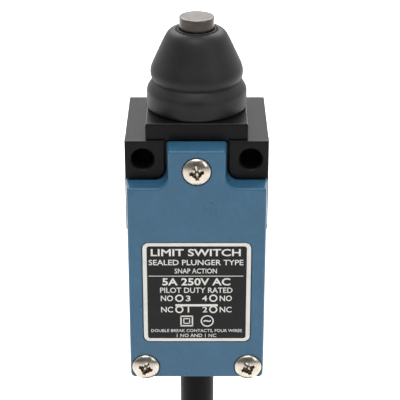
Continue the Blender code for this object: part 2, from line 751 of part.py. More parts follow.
def terminal(name, side, up, skin):
    """A bent strip: a pad under the screw at the front, and a tongue back to the contact."""
    level = CONTACT_LEVEL
    front = base_front() - GAP - 0.8 * MM
    near = level_reach()
    edges = sorted((level + up * near, level + up * (near + TONGUE_THICKNESS)))
    xs = sorted((side * (CONTACT_X - 1.4 * MM), side * (CONTACT_X + 1.5 * MM)))
    tongue = block(name, (xs[0], front, edges[0]), (xs[1], AXIS_Y + 1.6 * MM, edges[1]))
    pad_x = sorted((side * (TERMINAL_X - 2.5 * MM), side * (TERMINAL_X + 2.4 * MM)))
    pad_z = sorted((level + up * near, level + up * (TERMINAL_RISE + 2.2 * MM)))
    pad = block("pad", (pad_x[0], front, pad_z[0]), (pad_x[1], front + 0.8 * MM, pad_z[1]))
    combine(tongue, [pad], "UNION")
    x, z = side * TERMINAL_X, level + up * TERMINAL_RISE
    hole = rod("hole", 1.55 * MM, (x, front - 1 * MM, z), (x, front + 2 * MM, z), 12)
    rivet_hole = rod("rivet", 0.7 * MM, (side * CONTACT_X, AXIS_Y, level - 5 * MM),
                     (side * CONTACT_X, AXIS_Y, level + 5 * MM), 10)
    return dress(combine(tongue, [hole, rivet_hole]), skin)


def fixed_contact(name, side, up, skin):
    """A silver rivet on the tongue, facing the moving contact."""
    face = level_reach() - CLOSE - 0.7 * MM
    profile = [
        (0, face),
        (CONTACT_RADIUS - 0.2 * MM, face),
        (CONTACT_RADIUS, face + 0.2 * MM),
        (CONTACT_RADIUS, face + 0.7 * MM),
        (0.6 * MM, face + 0.7 * MM),
        (0.6 * MM, level_reach() + TONGUE_THICKNESS),
        (0, level_reach() + TONGUE_THICKNESS),
    ]
    place = (side * CONTACT_X, AXIS_Y, CONTACT_LEVEL)
    flip = Matrix.Rotation(math.pi, 4, "X") if up < 0 else None
    return dress(turned(name, profile, place, 14, flip), skin, True)


def contact_frame(skin):
    """The moving bridge: a strip with a window for the snap springs and the pusher's stem."""
    level = bridge_level()
    half = CONTACT_X + 1.2 * MM
    frame = block("contact_frame", (-half, AXIS_Y - 2.4 * MM, level - 0.45 * MM),
                  (half, AXIS_Y + 2.4 * MM, level + 0.45 * MM))
    inner = CONTACT_X - 1.5 * MM
    cutters = [block("window", (-inner, AXIS_Y - 1.5 * MM, level - 1 * MM),
                     (inner, AXIS_Y + 1.5 * MM, level + 1 * MM))]
    for side in (-1, 1):
        x = side * CONTACT_X
        cutters.append(rod("rivet", 0.7 * MM, (x, AXIS_Y, level - 1 * MM), (x, AXIS_Y, level + 1 * MM), 10))
    return dress(combine(frame, cutters), skin)


def bridge_level():
    """At rest the bridge lies on the lower, normally closed contacts."""
    return CONTACT_LEVEL - CONTACT_TRAVEL / 2


def moving_contact(name, side, skin):
    """A double-faced silver rivet through the bridge."""
    r, neck = CONTACT_RADIUS, 0.6 * MM
    profile = [(0, -0.8 * MM), (r, -0.8 * MM), (r, -0.55 * MM), (neck, -0.55 * MM), (neck, 0.55 * MM),
               (r, 0.55 * MM), (r, 0.8 * MM), (0, 0.8 * MM)]
    return dress(turned(name, profile, (side * CONTACT_X, AXIS_Y, bridge_level()), 14), skin, True)


def snap_spring(name, side, skin):
    """A small coil lying along X in the bridge's window, between the pusher and the window's end."""
    start, end = PUSHER_STEM + 2 * GAP, CONTACT_X - 1.5 * MM - GAP
    turns, per_turn = 4, 8
    points = []
    for step in range(turns * per_turn + 1):
        share = step / (turns * per_turn)
        angle = 2 * math.pi * step / per_turn
        points.append(
            (
                side * (start + WIRE_THIN / 2 + (end - start - WIRE_THIN) * share),
                AXIS_Y + 0.9 * MM * math.cos(angle),
                bridge_level() + 0.9 * MM * math.sin(angle),
            )
        )
    return tube(name, points, 0.2 * MM, 0, skin)


def pusher_spring(skin):
    foot = CONTACT_LEVEL - 4.4 * MM
    floor = CONTACT_LEVEL - 8.9 * MM
    points = helix(1.4 * MM, floor + GAP + WIRE_THIN, foot - GAP - WIRE_THIN, 4, (0, AXIS_Y), 10)
    return tube("pusher_spring", points, WIRE_THIN, 0, skin)


def cable_gland(skin):
    """A rubber bush: a plug in the bottom wall, and outside a flange that tapers to the cable."""
    inner = CABLE_RADIUS + GAP
    top = CAVITY_BOTTOM
    under = CASE_BOTTOM - GAP
    profile = [
        (inner, top),
        (GLAND_RADIUS, top),
        (GLAND_RADIUS, under),
        (GLAND_FLANGE, under),
        (GLAND_FLANGE, under - 1.9 * MM),
        (inner + 0.4 * MM, GLAND_END),
        (inner, GLAND_END),
    ]
    return dress(turned("cable_gland", profile, (0, CABLE_Y, 0), 24), skin, True)


def crimp_ring(skin):
    low, high = CAVITY_BOTTOM + GAP, CAVITY_BOTTOM + 1.1 * MM
    inner, outer = CABLE_RADIUS + GAP, GLAND_RADIUS + 0.7 * MM
    profile = [(inner, high), (outer, high), (outer, low), (inner, low)]
    return dress(turned("crimp_ring", profile, (0, CABLE_Y, 0), 24), skin, True)


def core(name, start_x, side, up, skin):
    """A wire from the cable's end, forward under the switch and up to its terminal screw."""
    level = CONTACT_LEVEL
    base_low = CASE_BOTTOM + BASE_RISE
    y = base_front() - 2.05 * MM
    x_end = side * (TERMINAL_X - 2.2 * MM)
    x_run = x_end if up < 0 else side * 2.6 * MM
    under = base_low - 1.2 * MM
    start = SHEATH_TOP + GAP
    middle_y = (CABLE_Y + y) / 2
    points = [
        (start_x, CABLE_Y, start),
        (start_x, CABLE_Y, start + 0.3 * MM),
        (start_x, CABLE_Y - 0.7 * MM, under - 0.9 * MM),
        (start_x, CABLE_Y - 1.8 * MM, under - 0.2 * MM),
        ((start_x + x_run) / 2, middle_y, under),
        (x_run, y + 1.5 * MM, under + 0.2 * MM),
        (x_run, y, base_low + 1 * MM),
    ]
    if up < 0:
        points.append((x_end, y, level - TERMINAL_RISE - 1.6 * MM))
        points.append((x_end, y, level - TERMINAL_RISE + 1.6 * MM))
    else:
        points += [
            (x_run, y, level - TERMINAL_RISE),
            (x_run, y, level - 1.5 * MM),
            (x_end, y, level + TERMINAL_RISE - 2.4 * MM),
            (x_end, y, level + TERMINAL_RISE + 1.6 * MM),
        ]
    return tube(name, smooth_line(points, 2), CORE_RADIUS, 1, skin)


def cable(skin):
    """The sheath from inside the case, out through the gland and back to the hank's rear layer."""
    bend_top, bend_low = GLAND_END - LEAD_STRAIGHT, HANK_TOP + GAP
    route = [(0, CABLE_Y, SHEATH_TOP), (0, CABLE_Y, CASE_BOTTOM)]
    for step in range(LEAD_STEPS + 1):
        share = step / LEAD_STEPS
        back = (1 - math.cos(math.pi * share)) / 2
        route.append((0, CABLE_Y + (HANK_REAR_Y - CABLE_Y) * back, bend_top + (bend_low - bend_top) * share))
    return tube("cable", route, CABLE_RADIUS, 4, skin)


def waist_offset(share):
    """How far a run stands from the middle: wide at both folds, drawn in under the tie."""
    wave = (1 - math.cos(2 * math.pi * share)) / 2
    return FOLD_RADIUS - (FOLD_RADIUS - HANK_WAIST) * wave


def cable_hank(skin):
    """The outer shape of the tied hank, drawn in at its waist."""
    right = []
    for step in range(1, 8):
        angle = math.radians(-90 + 90 * step / 8)
        reach = FOLD_RADIUS + CABLE_RADIUS
        right.append((reach * math.cos(angle), FOLD_LOW + reach * math.sin(angle)))
    for step in range(13):
        share = step / 12
        right.append((waist_offset(share) + CABLE_RADIUS, FOLD_LOW + HANK_STRAIGHT * share))
    for step in range(1, 8):
        angle = math.radians(90 * step / 8)
        right.append((reach * math.cos(angle), FOLD_HIGH + reach * math.sin(angle)))
    outline = [(0, HANK_BOTTOM), *right, (0, HANK_TOP)] + [(-x, z) for x, z in reversed(right)]
    front, rear = HANK_FRONT_Y - CABLE_RADIUS, HANK_REAR_Y + CABLE_RADIUS
    return dress(slab("cable_hank", outline, front, rear), skin)


def cable_tie(skin):
    """A flat strap round the hank's waist, with its locking head at the front."""
    middle = (FOLD_HIGH + FOLD_LOW) / 2
    half = 1.8 * MM
    reach = HANK_WAIST + CABLE_RADIUS + 2 * GAP
    front, rear = HANK_FRONT_Y - CABLE_RADIUS - GAP, HANK_REAR_Y + CABLE_RADIUS + GAP
    thick = 1.2 * MM
    low, high = middle - half, middle + half
    strap = block("cable_tie", (-reach - thick, front - thick, low), (reach + thick, rear + thick, high))
    hole = block("hole", (-reach, front, low - 1 * MM), (reach, rear, high + 1 * MM))
    combine(strap, [hole])
    head = block("head", (-2.6 * MM, front - 3.4 * MM, middle - 2.7 * MM),
                 (2.6 * MM, front - thick / 2, middle + 2.7 * MM))
    return dress(combine(strap, [head], "UNION"), skin)


def cable_tail(skin):
    top = HANK_BOTTOM - GAP
    points = [(0, HANK_FRONT_Y, top - TAIL_LENGTH * step / 3) for step in range(4)]
    return tube("cable_tail", points, CABLE_RADIUS, 4, skin)


def end_core(number, skin):
    """One bare-ended wire at the far end of the cable, leaning a little outwards."""
    x, y, top, drop = end_core_place(number)
    route = [
        (x, y, top),
        (x * 1.15, y, top - drop * 0.3),
        (x * 1.6, y, top - drop * 0.6),
        (x * 2.05, y, top - drop + 2 * MM),
        (x * 2.1, y, top - drop),
    ]
    return tube(f"end_core_{number}", smooth_line(route, 2), CORE_RADIUS, 1, skin)


def end_core_place(number):
    top = HANK_BOTTOM - GAP - TAIL_LENGTH - GAP
    return CORE_SPREAD[number - 1], HANK_FRONT_Y, top, END_CORE_LENGTH


def ferrule(number, skin):
    """A crimped metal ferrule with its plastic collar, on the end of a wire."""
    x, y, top, drop = end_core_place(number)
    collar, pin = CORE_RADIUS + 0.35 * MM, 0.55 * MM
    profile = [
        (0, 0),
        (collar, 0),
        (collar * 0.9, -2.2 * MM),
        (pin, -2.8 * MM),
        (pin, -8 * MM),
        (0, -8 * MM),
    ]
    return dress(turned(f"ferrule_{number}", profile, (x * 2.1, y, top - drop - GAP), 12), skin, True)


def main():
    clear_scene()
    black = material("case plastic", BLACK, 0.35)
    rubber = material("boot rubber", RUBBER, 0.5)
    steel = material("turned steel", STEEL, 0.25, 1.0)
    nickel = material("nickelled steel", NICKEL, 0.25, 1.0)
    brass = material("brass", BRASS, 0.3, 1.0)
    silver = material("silver contact", SILVER, 0.25, 1.0)
    phenolic = material("phenolic", PHENOLIC, 0.5)
    wire = material("spring steel", SPRING, 0.3, 1.0)
    sheath = material("cable sheath", SHEATH, 0.5)
    natural = material("natural nylon", (0.75, 0.72, 0.64), 0.5)

    case_body(black)
    front_cover(material("cover paint", BLUE, 0.4))
    cover_gasket(rubber)
    dress(slab("nameplate", plate_outline(0), COVER_FRONT, plate_back()), material("nameplate", PLATE, 0.4))
    cover_screw = screw_mesh(SCREW_RADIUS, SCREW_HEAD_RADIUS, SCREW_HEAD_HEIGHT, SCREW_LENGTH, 20)
    for name, (x, z) in zip(("top", "left", "right"), screw_places()):
        place_screw(f"cover_screw_{name}", cover_screw, x, SCREW_SEAT - GAP, z, nickel)

    plunger(steel)
    retaining_ring(wire)
    guide_bush(brass)
    plunger_seal(rubber)
    return_spring(wire)
    overtravel_spring(wire)
    plunger_boot(rubber)

    pusher(natural)
    pusher_spring(wire)
    switch_base(phenolic)
    switch_plate(natural)
    small_screw = screw_mesh(1.25 * MM, 2.4 * MM, 1.5 * MM, 5.8 * MM, 16)
    head_seat = base_front() - 2.8 * MM
    level = CONTACT_LEVEL
    places = {1: (-1, -1), 2: (1, -1), 3: (-1, 1), 4: (1, 1)}
    for number, (side, up) in places.items():
        terminal(f"terminal_{number}", side, up, brass)
        fixed_contact(f"fixed_contact_{number}", side, up, silver)
        place_screw(f"terminal_screw_{number}", small_screw, side * TERMINAL_X, head_seat,
                    level + up * TERMINAL_RISE, nickel)
    long_screw = screw_mesh(1.25 * MM, 1.9 * MM, 1.3 * MM, CASE_DEPTH - FRONT_ROOM - 1.6 * MM, 16)
    for name, side in (("left", -1), ("right", 1)):
        x, z = switch_screw_place(side)
        place_screw(f"switch_screw_{name}", long_screw, x, base_front() - GAP, z, nickel)

    contact_frame(brass)
    for name, side in (("left", -1), ("right", 1)):
        moving_contact(f"moving_contact_{name}", side, silver)
        snap_spring(f"snap_spring_{name}", side, wire)

    cable_gland(rubber)
    crimp_ring(brass)
    cable(sheath)
    core_skins = {
        1: material("core black", (0.02, 0.02, 0.02), 0.4),
        2: material("core white", (0.8, 0.8, 0.78), 0.4),
        3: material("core red", (0.5, 0.03, 0.03), 0.4),
        4: material("core green", (0.03, 0.25, 0.06), 0.4),
    }
    starts = {1: CORE_SPREAD[0], 3: CORE_SPREAD[1], 4: CORE_SPREAD[2], 2: CORE_SPREAD[3]}
    for number, (side, up) in places.items():
        core(f"core_{number}", starts[number], side, up, core_skins[number])
    cable_hank(sheath)
    cable_tie(natural)
    cable_tail(sheath)
    for number in places:
        end_core(number, core_skins[number])
        ferrule(number, nickel)


main()
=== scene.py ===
# %% [markdown]
# # A small sealed limit switch, dressed for a studio picture
# The engineering model is already there, as a fixed frame of named solids. This lesson gives it the
# surfaces that a camera sees: a moulded black case, an enamelled blue cover, a rubber boot round a
# steel plunger, a printed nameplate, plated screws, and a metre of cable folded into a hank.
# Everything is in metres, with +Z up along the plunger and the blue cover facing -Y.

# %% Load the frame
import math

import bpy
from mathutils import Matrix, Vector


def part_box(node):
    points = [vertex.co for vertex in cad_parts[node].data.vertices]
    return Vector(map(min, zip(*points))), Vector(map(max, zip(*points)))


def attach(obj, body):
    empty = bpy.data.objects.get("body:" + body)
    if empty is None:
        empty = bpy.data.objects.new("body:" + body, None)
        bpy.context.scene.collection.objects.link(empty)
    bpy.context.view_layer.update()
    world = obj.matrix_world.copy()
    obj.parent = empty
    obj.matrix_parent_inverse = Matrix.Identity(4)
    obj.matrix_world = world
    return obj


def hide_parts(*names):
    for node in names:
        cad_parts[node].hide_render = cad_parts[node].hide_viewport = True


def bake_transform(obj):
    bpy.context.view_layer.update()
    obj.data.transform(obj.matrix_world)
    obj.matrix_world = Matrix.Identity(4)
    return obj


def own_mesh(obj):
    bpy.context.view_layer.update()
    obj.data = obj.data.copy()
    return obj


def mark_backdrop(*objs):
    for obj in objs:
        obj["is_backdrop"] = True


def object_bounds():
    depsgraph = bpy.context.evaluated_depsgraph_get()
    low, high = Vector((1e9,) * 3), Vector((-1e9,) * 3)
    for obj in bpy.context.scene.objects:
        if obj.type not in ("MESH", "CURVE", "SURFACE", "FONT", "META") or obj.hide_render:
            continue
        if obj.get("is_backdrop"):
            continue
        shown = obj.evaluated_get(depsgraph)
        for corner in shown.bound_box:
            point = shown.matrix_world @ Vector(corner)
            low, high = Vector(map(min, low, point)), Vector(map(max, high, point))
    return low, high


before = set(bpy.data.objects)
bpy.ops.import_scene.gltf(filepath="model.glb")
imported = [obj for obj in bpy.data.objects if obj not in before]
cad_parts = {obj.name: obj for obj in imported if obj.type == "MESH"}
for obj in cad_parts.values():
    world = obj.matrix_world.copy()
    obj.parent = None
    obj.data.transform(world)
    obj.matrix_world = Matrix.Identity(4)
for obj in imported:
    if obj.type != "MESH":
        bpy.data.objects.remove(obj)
cad_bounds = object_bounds()
MM = 0.001
bpy.ops.object.select_all(action="DESELECT")
print("CAD box, mm:", [[round(c / MM, 2) for c in corner] for corner in cad_bounds])

# %% [markdown]
# ## The camera and the light
# The camera looks down on the front by 25 degrees, through a long lens that keeps the sides of the
# case nearly parallel. A glossy black part shows mostly what it reflects. A bright sky behind and
# above gives the upper faces their gray, and a darker front keeps the upright faces black. One wide
# softbox above draws the thin bright lines along the rounded edges, a weaker one lights the right
# side, and a lamp behind washes the floor.
# The Standard view keeps paint and ink at the values they are given.

# %% Camera
bpy.context.scene.view_settings.view_transform = "Standard"
bpy.ops.object.camera_add(location=(0.64 * MM, -269.3 * MM, 106.7 * MM), rotation=(math.radians(64.8), 0, 0))
camera = bpy.context.object
camera.name = "studio_camera"
camera.data.lens = 124.0
camera.data.clip_start = 0.01
bpy.context.scene.camera = camera
print("camera lens:", camera.data.lens, "mm")

# %% Colours from a paint card
def srgb(code, alpha=1.0):
    """A hex colour as it is read off a screen, turned into the linear values that a shader takes."""
    channels = [int(code[i:i + 2], 16) / 255 for i in (1, 3, 5)]
    linear = [c / 12.92 if c <= 0.04045 else ((c + 0.055) / 1.055) ** 2.4 for c in channels]
    return (*linear, alpha)


print("mid gray is", round(srgb("#808080")[0], 3), "in linear light")

# %% [markdown]
# One helper adds every node in this lesson. A setting is either a socket or a property, and a link
# brings another node's output in. With no other helper between, each material can be read as the
# list of its nodes.

# %% One helper for every node
def add_node(tree, kind, settings=None, links=None):
    """Adds a node. A key is a socket's name or number, or else a property of the node."""
    made = tree.nodes.new(kind)
    for key, value in (settings or {}).items():
        if key == "stops":
            ramp = made.color_ramp
            while len(ramp.elements) < len(value):
                ramp.elements.new(0.5)
            for element, (place, colour) in zip(ramp.elements, value):
                element.position = place
                element.color = colour
        elif isinstance(key, int) or key in made.inputs:
            made.inputs[key].default_value = value
        else:
            setattr(made, key, value)
    for key, source in (links or {}).items():
        tree.links.new(source, made.inputs[key])
    return made


# %% The studio's sky
def studio_sky(world):
    """Bright from above and behind, dim from the front and below."""
    world.use_nodes = True
    tree = world.node_tree
    tree.nodes.clear()
    place = add_node(tree, "ShaderNodeTexCoord")
    toward = add_node(tree, "ShaderNodeVectorMath", {"operation": "DOT_PRODUCT", 1: (0, 0.80, 0.60)},
                      {0: place.outputs["Generated"]})
    sky = add_node(tree, "ShaderNodeValToRGB", {"stops": [
        (0.30, srgb("#5C5C5E")), (0.52, srgb("#A4A4A6")), (0.74, srgb("#FFFFFF"))]})
    level = add_node(tree, "ShaderNodeMapRange", {"From Min": -1.0, "From Max": 1.0},
                     {"Value": toward.outputs["Value"]})
    tree.links.new(level.outputs["Result"], sky.inputs["Fac"])
    light = add_node(tree, "ShaderNodeBackground", {"Strength": 1.0}, {"Color": sky.outputs["Color"]})
    add_node(tree, "ShaderNodeOutputWorld", None, {"Surface": light.outputs["Background"]})


bpy.context.scene.world = bpy.data.worlds.new("studio_sky")
studio_sky(bpy.context.scene.world)


# %% Softboxes and the floor
def softbox(name, place, aim, width, height, watts):
    """A wide soft lamp that faces a point."""
    bpy.ops.object.light_add(type="AREA", location=place)
    lamp = bpy.context.object
    lamp.name = name
    lamp.data.shape = "RECTANGLE"
    lamp.data.size, lamp.data.size_y = width, height
    lamp.data.energy = watts
    lamp.rotation_euler = (Vector(aim) - Vector(place)).to_track_quat("-Z", "Y").to_euler()
    return lamp


softbox("softbox_above", (-0.05, -0.42, 0.78), (0, -0.01, -0.01), 0.5, 0.2, 3.6)
softbox("softbox_right", (0.52, -0.50, 0.30), (0, -0.01, 0.0), 0.22, 0.4, 0.9)
softbox("floor_wash", (0, 1.25, 1.1), (0, 1.05, -0.25), 2.6, 1.2, 52.0)


def pale_floor():
    """A wide pale sheet under the lowest point of the object."""
    bpy.ops.object.select_all(action="DESELECT")
    bpy.ops.mesh.primitive_plane_add(size=6.0, location=(0, 0.8, cad_bounds[0].z - 0.6 * MM))
    floor = bpy.context.object
    floor.name = "pale_floor"
    bpy.ops.object.transform_apply(location=True, rotation=True, scale=True)
    paper = bpy.data.materials.new("matt_paper")
    paper.use_nodes = True
    shader = paper.node_tree.nodes["Principled BSDF"]
    shader.inputs["Base Color"].default_value = srgb("#F7F7F7")
    shader.inputs["Roughness"].default_value = 0.9
    floor.data.materials.append(paper)
    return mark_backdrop(floor)


pale_floor()

# %% [markdown]
# ## The cable
# The switch comes with a metre of round four-core cable moulded into its floor. Only a few
# millimetres hang in view. The rest is put away as a fitter would leave it: three turns that lie
# in four layers, with a nylon tie at the waist. The centreline is worked out as numbers, because
# a cord has one real length. A curve with a round bevel then gives it its body, and is made a mesh.

# %% The cable's centreline
cable_low, cable_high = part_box("cable")
hank_low, hank_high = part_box("cable_hank")
tail_low, tail_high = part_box("cable_tail")
gland_low, gland_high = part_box("cable_gland")
RADIUS = (tail_high.x - tail_low.x) / 2
ENTRY_Y = (gland_low.y + gland_high.y) / 2
REAR_Y = hank_high.y - RADIUS
LAYER = 2 * RADIUS
FOLD = hank_high.x - RADIUS
FOLD_HIGH = hank_high.z - RADIUS - FOLD
FOLD_LOW = hank_low.z + RADIUS + FOLD
WAIST = 2.67 * RADIUS
STRAIGHT = 8 * MM


def wave(share):
    """Eases from 0 to 1."""
    return (1 - math.cos(math.pi * share)) / 2


def run_offset(share):
    """How far a run stands from the middle: wide at both folds, drawn in under the tie."""
    return FOLD - (FOLD - WAIST) * wave(2 * share)


def cable_line():
    """Points down through the gland, through seven runs and six folds, and out at the bottom."""
    line = [(0, ENTRY_Y, cable_high.z), (0, ENTRY_Y, gland_high.z), (0, ENTRY_Y, gland_low.z)]
    bend_top, bend_low = gland_low.z - STRAIGHT, cable_low.z
    for step in range(13):
        share = step / 12
        y = ENTRY_Y + (REAR_Y - ENTRY_Y) * wave(share)
        line.append((0, y, bend_top + (bend_low - bend_top) * share))
    height = FOLD_HIGH - FOLD_LOW
    steps, turns = 30, 26
    middle = (FOLD_HIGH + FOLD_LOW) / 2
    first = cable_low.z - middle
    for step in range(1, steps + 1):
        share = step / steps
        line.append((WAIST * wave(share), REAR_Y, cable_low.z - first * share))
    for layer in range(4):
        y = REAR_Y - layer * LAYER
        if layer:
            for step in range(steps // 2 + 1):
                share = step / steps
                line.append((run_offset(share), y, FOLD_HIGH - height * share))
        if layer == 3:
            break
        for step in range(1, steps // 2 + 1):
            share = 0.5 + step / steps
            line.append((run_offset(share), y, FOLD_HIGH - height * share))
        for step in range(1, turns):
            angle = math.pi * step / turns
            line.append((FOLD * math.cos(angle), y, FOLD_LOW - FOLD * math.sin(angle)))
        for step in range(steps + 1):
            share = step / steps
            line.append((-run_offset(share), y - LAYER * wave(share), FOLD_LOW + height * share))
        for step in range(1, turns):
            angle = math.pi * step / turns
            line.append((-FOLD * math.cos(angle), y - LAYER, FOLD_HIGH + FOLD * math.sin(angle)))
    end = REAR_Y - 3 * LAYER
    last = middle - hank_low.z
    for step in range(1, steps + 1):
        share = step / steps
        line.append((WAIST * (1 - wave(share)), end, middle - last * share))
    line.append((0, end, tail_low.z))
    return [Vector(p) for p in line]


points = cable_line()


# %% The cable as a round curve
def round_cord(name, line, radius, sides=7):
    """A cord drawn as one open spline with a round bevel and closed ends, then made a mesh."""
    curve = bpy.data.curves.new(name, "CURVE")
    curve.dimensions = "3D"
    curve.bevel_depth = radius
    curve.bevel_resolution = sides
    curve.use_fill_caps = True
    spline = curve.splines.new("POLY")
    spline.points.add(len(line) - 1)
    for knot, where in zip(spline.points, line):
        knot.co = (*where, 1)
    spline.use_smooth = True
    made = bpy.data.objects.new(name, curve)
    bpy.context.scene.collection.objects.link(made)
    bpy.ops.object.select_all(action="DESELECT")
    made.select_set(True)
    bpy.context.view_layer.objects.active = made
    bpy.ops.object.convert(target="MESH")
    return bpy.context.object


cable_cord = round_cord("cable_cord", points, RADIUS)
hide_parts("cable", "cable_hank", "cable_tail")
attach(cable_cord, "case")

# %% [markdown]
# ## Finishes
# Most of these surfaces are plain at arm's length and uneven close to. Each has patches a few
# millimetres wide where the colour and the gloss drift a little, and a fine grain from the mould, the
# spray gun or the tool. One function lays that down, from sizes in millimetres, and each call says what
# the real material is. The patterns sit on the object's own coordinates, so they turn with it.

# %% A surface with patches and grain
def surface(name, colours, gloss, patch=5.0, grain=0.15, relief=0.0, stretch=(1, 1, 1), **uniform):
    """Colours and roughness drift over patches, and a fine grain lifts the surface. Sizes in mm."""
    made = bpy.data.materials.new(name)
    made.use_nodes = True
    tree = made.node_tree
    shader = tree.nodes["Principled BSDF"]
    for socket, value in uniform.items():
        shader.inputs[socket.replace("_", " ")].default_value = value
    place = add_node(tree, "ShaderNodeTexCoord")
    along = add_node(tree, "ShaderNodeMapping", {"Scale": stretch}, {"Vector": place.outputs["Object"]})
    patches = add_node(tree, "ShaderNodeTexNoise", {"Scale": 1 / (patch * MM), "Detail": 3.0},
                       {"Vector": place.outputs["Object"]})
    fine = add_node(tree, "ShaderNodeTexNoise", {"Scale": 1 / (grain * MM), "Detail": 2.0},
                    {"Vector": along.outputs["Vector"]})
    both = add_node(tree, "ShaderNodeMix", {"data_type": "FLOAT", 0: 0.4},
                    {2: patches.outputs["Fac"], 3: fine.outputs["Fac"]})
    spread = [(0.3 + 0.4 * i / max(len(colours) - 1, 1), srgb(c)) for i, c in enumerate(colours)]
    tint = add_node(tree, "ShaderNodeValToRGB", {"stops": spread}, {"Fac": both.outputs[0]})
    sheen = add_node(tree, "ShaderNodeMapRange", {"From Min": 0.3, "From Max": 0.7, "To Min": gloss[0],
                                                  "To Max": gloss[1]}, {"Value": both.outputs[0]})
    tree.links.new(tint.outputs["Color"], shader.inputs["Base Color"])
    tree.links.new(sheen.outputs["Result"], shader.inputs["Roughness"])
    if relief:
        lift = add_node(tree, "ShaderNodeBump", {"Strength": 1.0, "Distance": relief * MM},
                        {"Height": fine.outputs["Fac"]})
        tree.links.new(lift.outputs["Normal"], shader.inputs["Normal"])
    return made


# %% [markdown]
# The case is glass-filled nylon, moulded in a fine-textured tool. Its grain of a tenth of a millimetre
# breaks up a reflection just enough to leave a satin gleam. The boot is nitrile rubber, duller, with
# the faint gray bloom that rubber gets in air. The cable's sheath is soft vinyl, drawn through a die,
# so its grain runs along the cable.

# %% Black plastics and rubbers
case_nylon = surface("moulded_black_nylon", ["#0F0F10", "#121213", "#161617"], (0.27, 0.36),
                     patch=4.0, grain=0.12, relief=0.0022, IOR=1.5, Specular_IOR_Level=0.13)
# Painted shade: a darker, duller copy of the nylon for the inside of the mounting holes, so they read as black.
bore_painted_shade = surface("moulded_bore_painted_shade", ["#050506", "#08080A"], (0.7, 0.85), grain=0.2, relief=0.004, IOR=1.5,
                    Specular_IOR_Level=0.05)
boot_rubber = surface("nitrile_rubber", ["#18181A", "#1C1C1E", "#232325"], (0.44, 0.58),
                      patch=3.5, grain=0.10, relief=0.003, IOR=1.52, Specular_IOR_Level=0.3)
gasket_rubber = surface("gasket_rubber", ["#1B1B1C", "#232324"], (0.5, 0.65), grain=0.1, relief=0.004, IOR=1.52)
sheath_vinyl = surface("vinyl_sheath", ["#0C0C0D", "#101011", "#141415"], (0.38, 0.52), patch=6.0, grain=0.14,
                       relief=0.004, stretch=(1, 1, 0.15), IOR=1.53,
                       Specular_IOR_Level=0.08)
gland_rubber = surface("gland_rubber", ["#161617", "#1C1C1D"], (0.42, 0.55), grain=0.12, relief=0.004, IOR=1.52)
print("black finishes:", case_nylon.name, boot_rubber.name, sheath_vinyl.name)

# %% [markdown]
# The cover is a zinc die casting with baked blue enamel. Sprayed enamel dries with a very low
# orange peel, waves about a millimetre apart, and the film is thinner over the sharp rims. The
# screws are steel with bright nickel, which is warmer than chrome. Their recesses get a darker,
# browner nickel: painted shade, with a tint of brown tarnish.

# %% Enamel and plating
blue_enamel = surface("baked_blue_enamel", ["#315C77", "#34607C", "#386582"], (0.26, 0.34), patch=7.0,
                      grain=0.9, relief=0.004, IOR=1.5, Specular_IOR_Level=0.4)
nickel_plate = surface("bright_nickel", ["#B8AE9F", "#CFC6B8", "#DDD5C8"], (0.20, 0.32), patch=1.2, grain=0.2,
                       relief=0.002, Metallic=1.0)
# Painted shade in the screws' recesses, with a tint of brown tarnish.
recess_shade_and_tarnish = surface("nickel_recess_shade_and_tarnish", ["#6A5846", "#8C7C69", "#B0A392"], (0.30, 0.5), patch=0.6, grain=0.2,
                       relief=0.002, Metallic=1.0)
print("enamel and plating:", blue_enamel.name, nickel_plate.name, recess_shade_and_tarnish.name)

# %% [markdown]
# The metals inside and out are told apart by how they were made. A turned plunger has rings from the
# tool, brass strip has a rolled grain along its length, and drawn spring wire is smooth and grayish.

# %% Metals, phenolic and nylon
plunger_steel = surface("turned_steel", ["#46413E", "#4F4A46", "#58534F"], (0.20, 0.30), patch=2.0, grain=0.10,
                        relief=0.0012, stretch=(0.1, 0.1, 1), Metallic=1.0)
# Painted light: a paler copy of the turned steel for the plunger's top face and rim.
steel_top_painted_light = surface("steel_top_painted_light", ["#5E5A57", "#686461", "#726E6B"], (0.28, 0.40), patch=1.5, grain=0.10,
                      relief=0.001, Metallic=1.0)
spring_wire = surface("spring_wire", ["#8C8C90", "#A5A5A9"], (0.25, 0.38), patch=1.0, grain=0.1, relief=0.001,
                      Metallic=1.0)
strip_brass = surface("rolled_brass", ["#B08A3E", "#C59D4E", "#D2AE62"], (0.25, 0.4), patch=2.0, grain=0.08,
                      relief=0.001, stretch=(0.1, 1, 1), Metallic=1.0)
contact_silver = surface("contact_silver", ["#BDBDB8", "#DEDED9"], (0.22, 0.38), patch=0.8, grain=0.08,
                         relief=0.001, Metallic=1.0)
brown_phenolic = surface("brown_phenolic", ["#3B2216", "#4A2C1C", "#553322"], (0.35, 0.5), patch=2.0, grain=0.2,
                         relief=0.003, IOR=1.55)
natural_nylon = surface("natural_nylon", ["#D9D4C4", "#E4DFD0", "#EBE7DA"], (0.38, 0.52), patch=3.0, grain=0.2,
                        relief=0.002, IOR=1.53, Subsurface_Weight=0.15, Subsurface_Scale=0.002)
core_vinyl = {
    "core_black": surface("core_vinyl_black", ["#1C1C1C", "#262626"], (0.3, 0.42), grain=0.1, IOR=1.53),
    "core_white": surface("core_vinyl_white", ["#D8D7D0", "#E8E7E1"], (0.3, 0.42), grain=0.1, IOR=1.53),
    "core_red": surface("core_vinyl_red", ["#9C1F1B", "#B02A24"], (0.3, 0.42), grain=0.1, IOR=1.53),
    "core_green": surface("core_vinyl_green", ["#1F6B34", "#2A7D3F"], (0.3, 0.42), grain=0.1, IOR=1.53),
}
cable_cord.data.materials.append(sheath_vinyl)
print("finishes so far:", len(bpy.data.materials))

# %% [markdown]
# ## Modelling tools
# Each new piece below starts as a cube or a circle and is shaped in edit mode. A few short
# helpers save repeating the clicks: they stretch a cube between two corners, turn a profile ring by
# ring as on a lathe, pick edges or faces by their place and round them, and cut or join solids.

# %% Picking parts of a mesh
def only(thing):
    """Selects one object and makes it active."""
    bpy.ops.object.select_all(action="DESELECT")
    thing.select_set(True)
    bpy.context.view_layer.objects.active = thing
    return thing


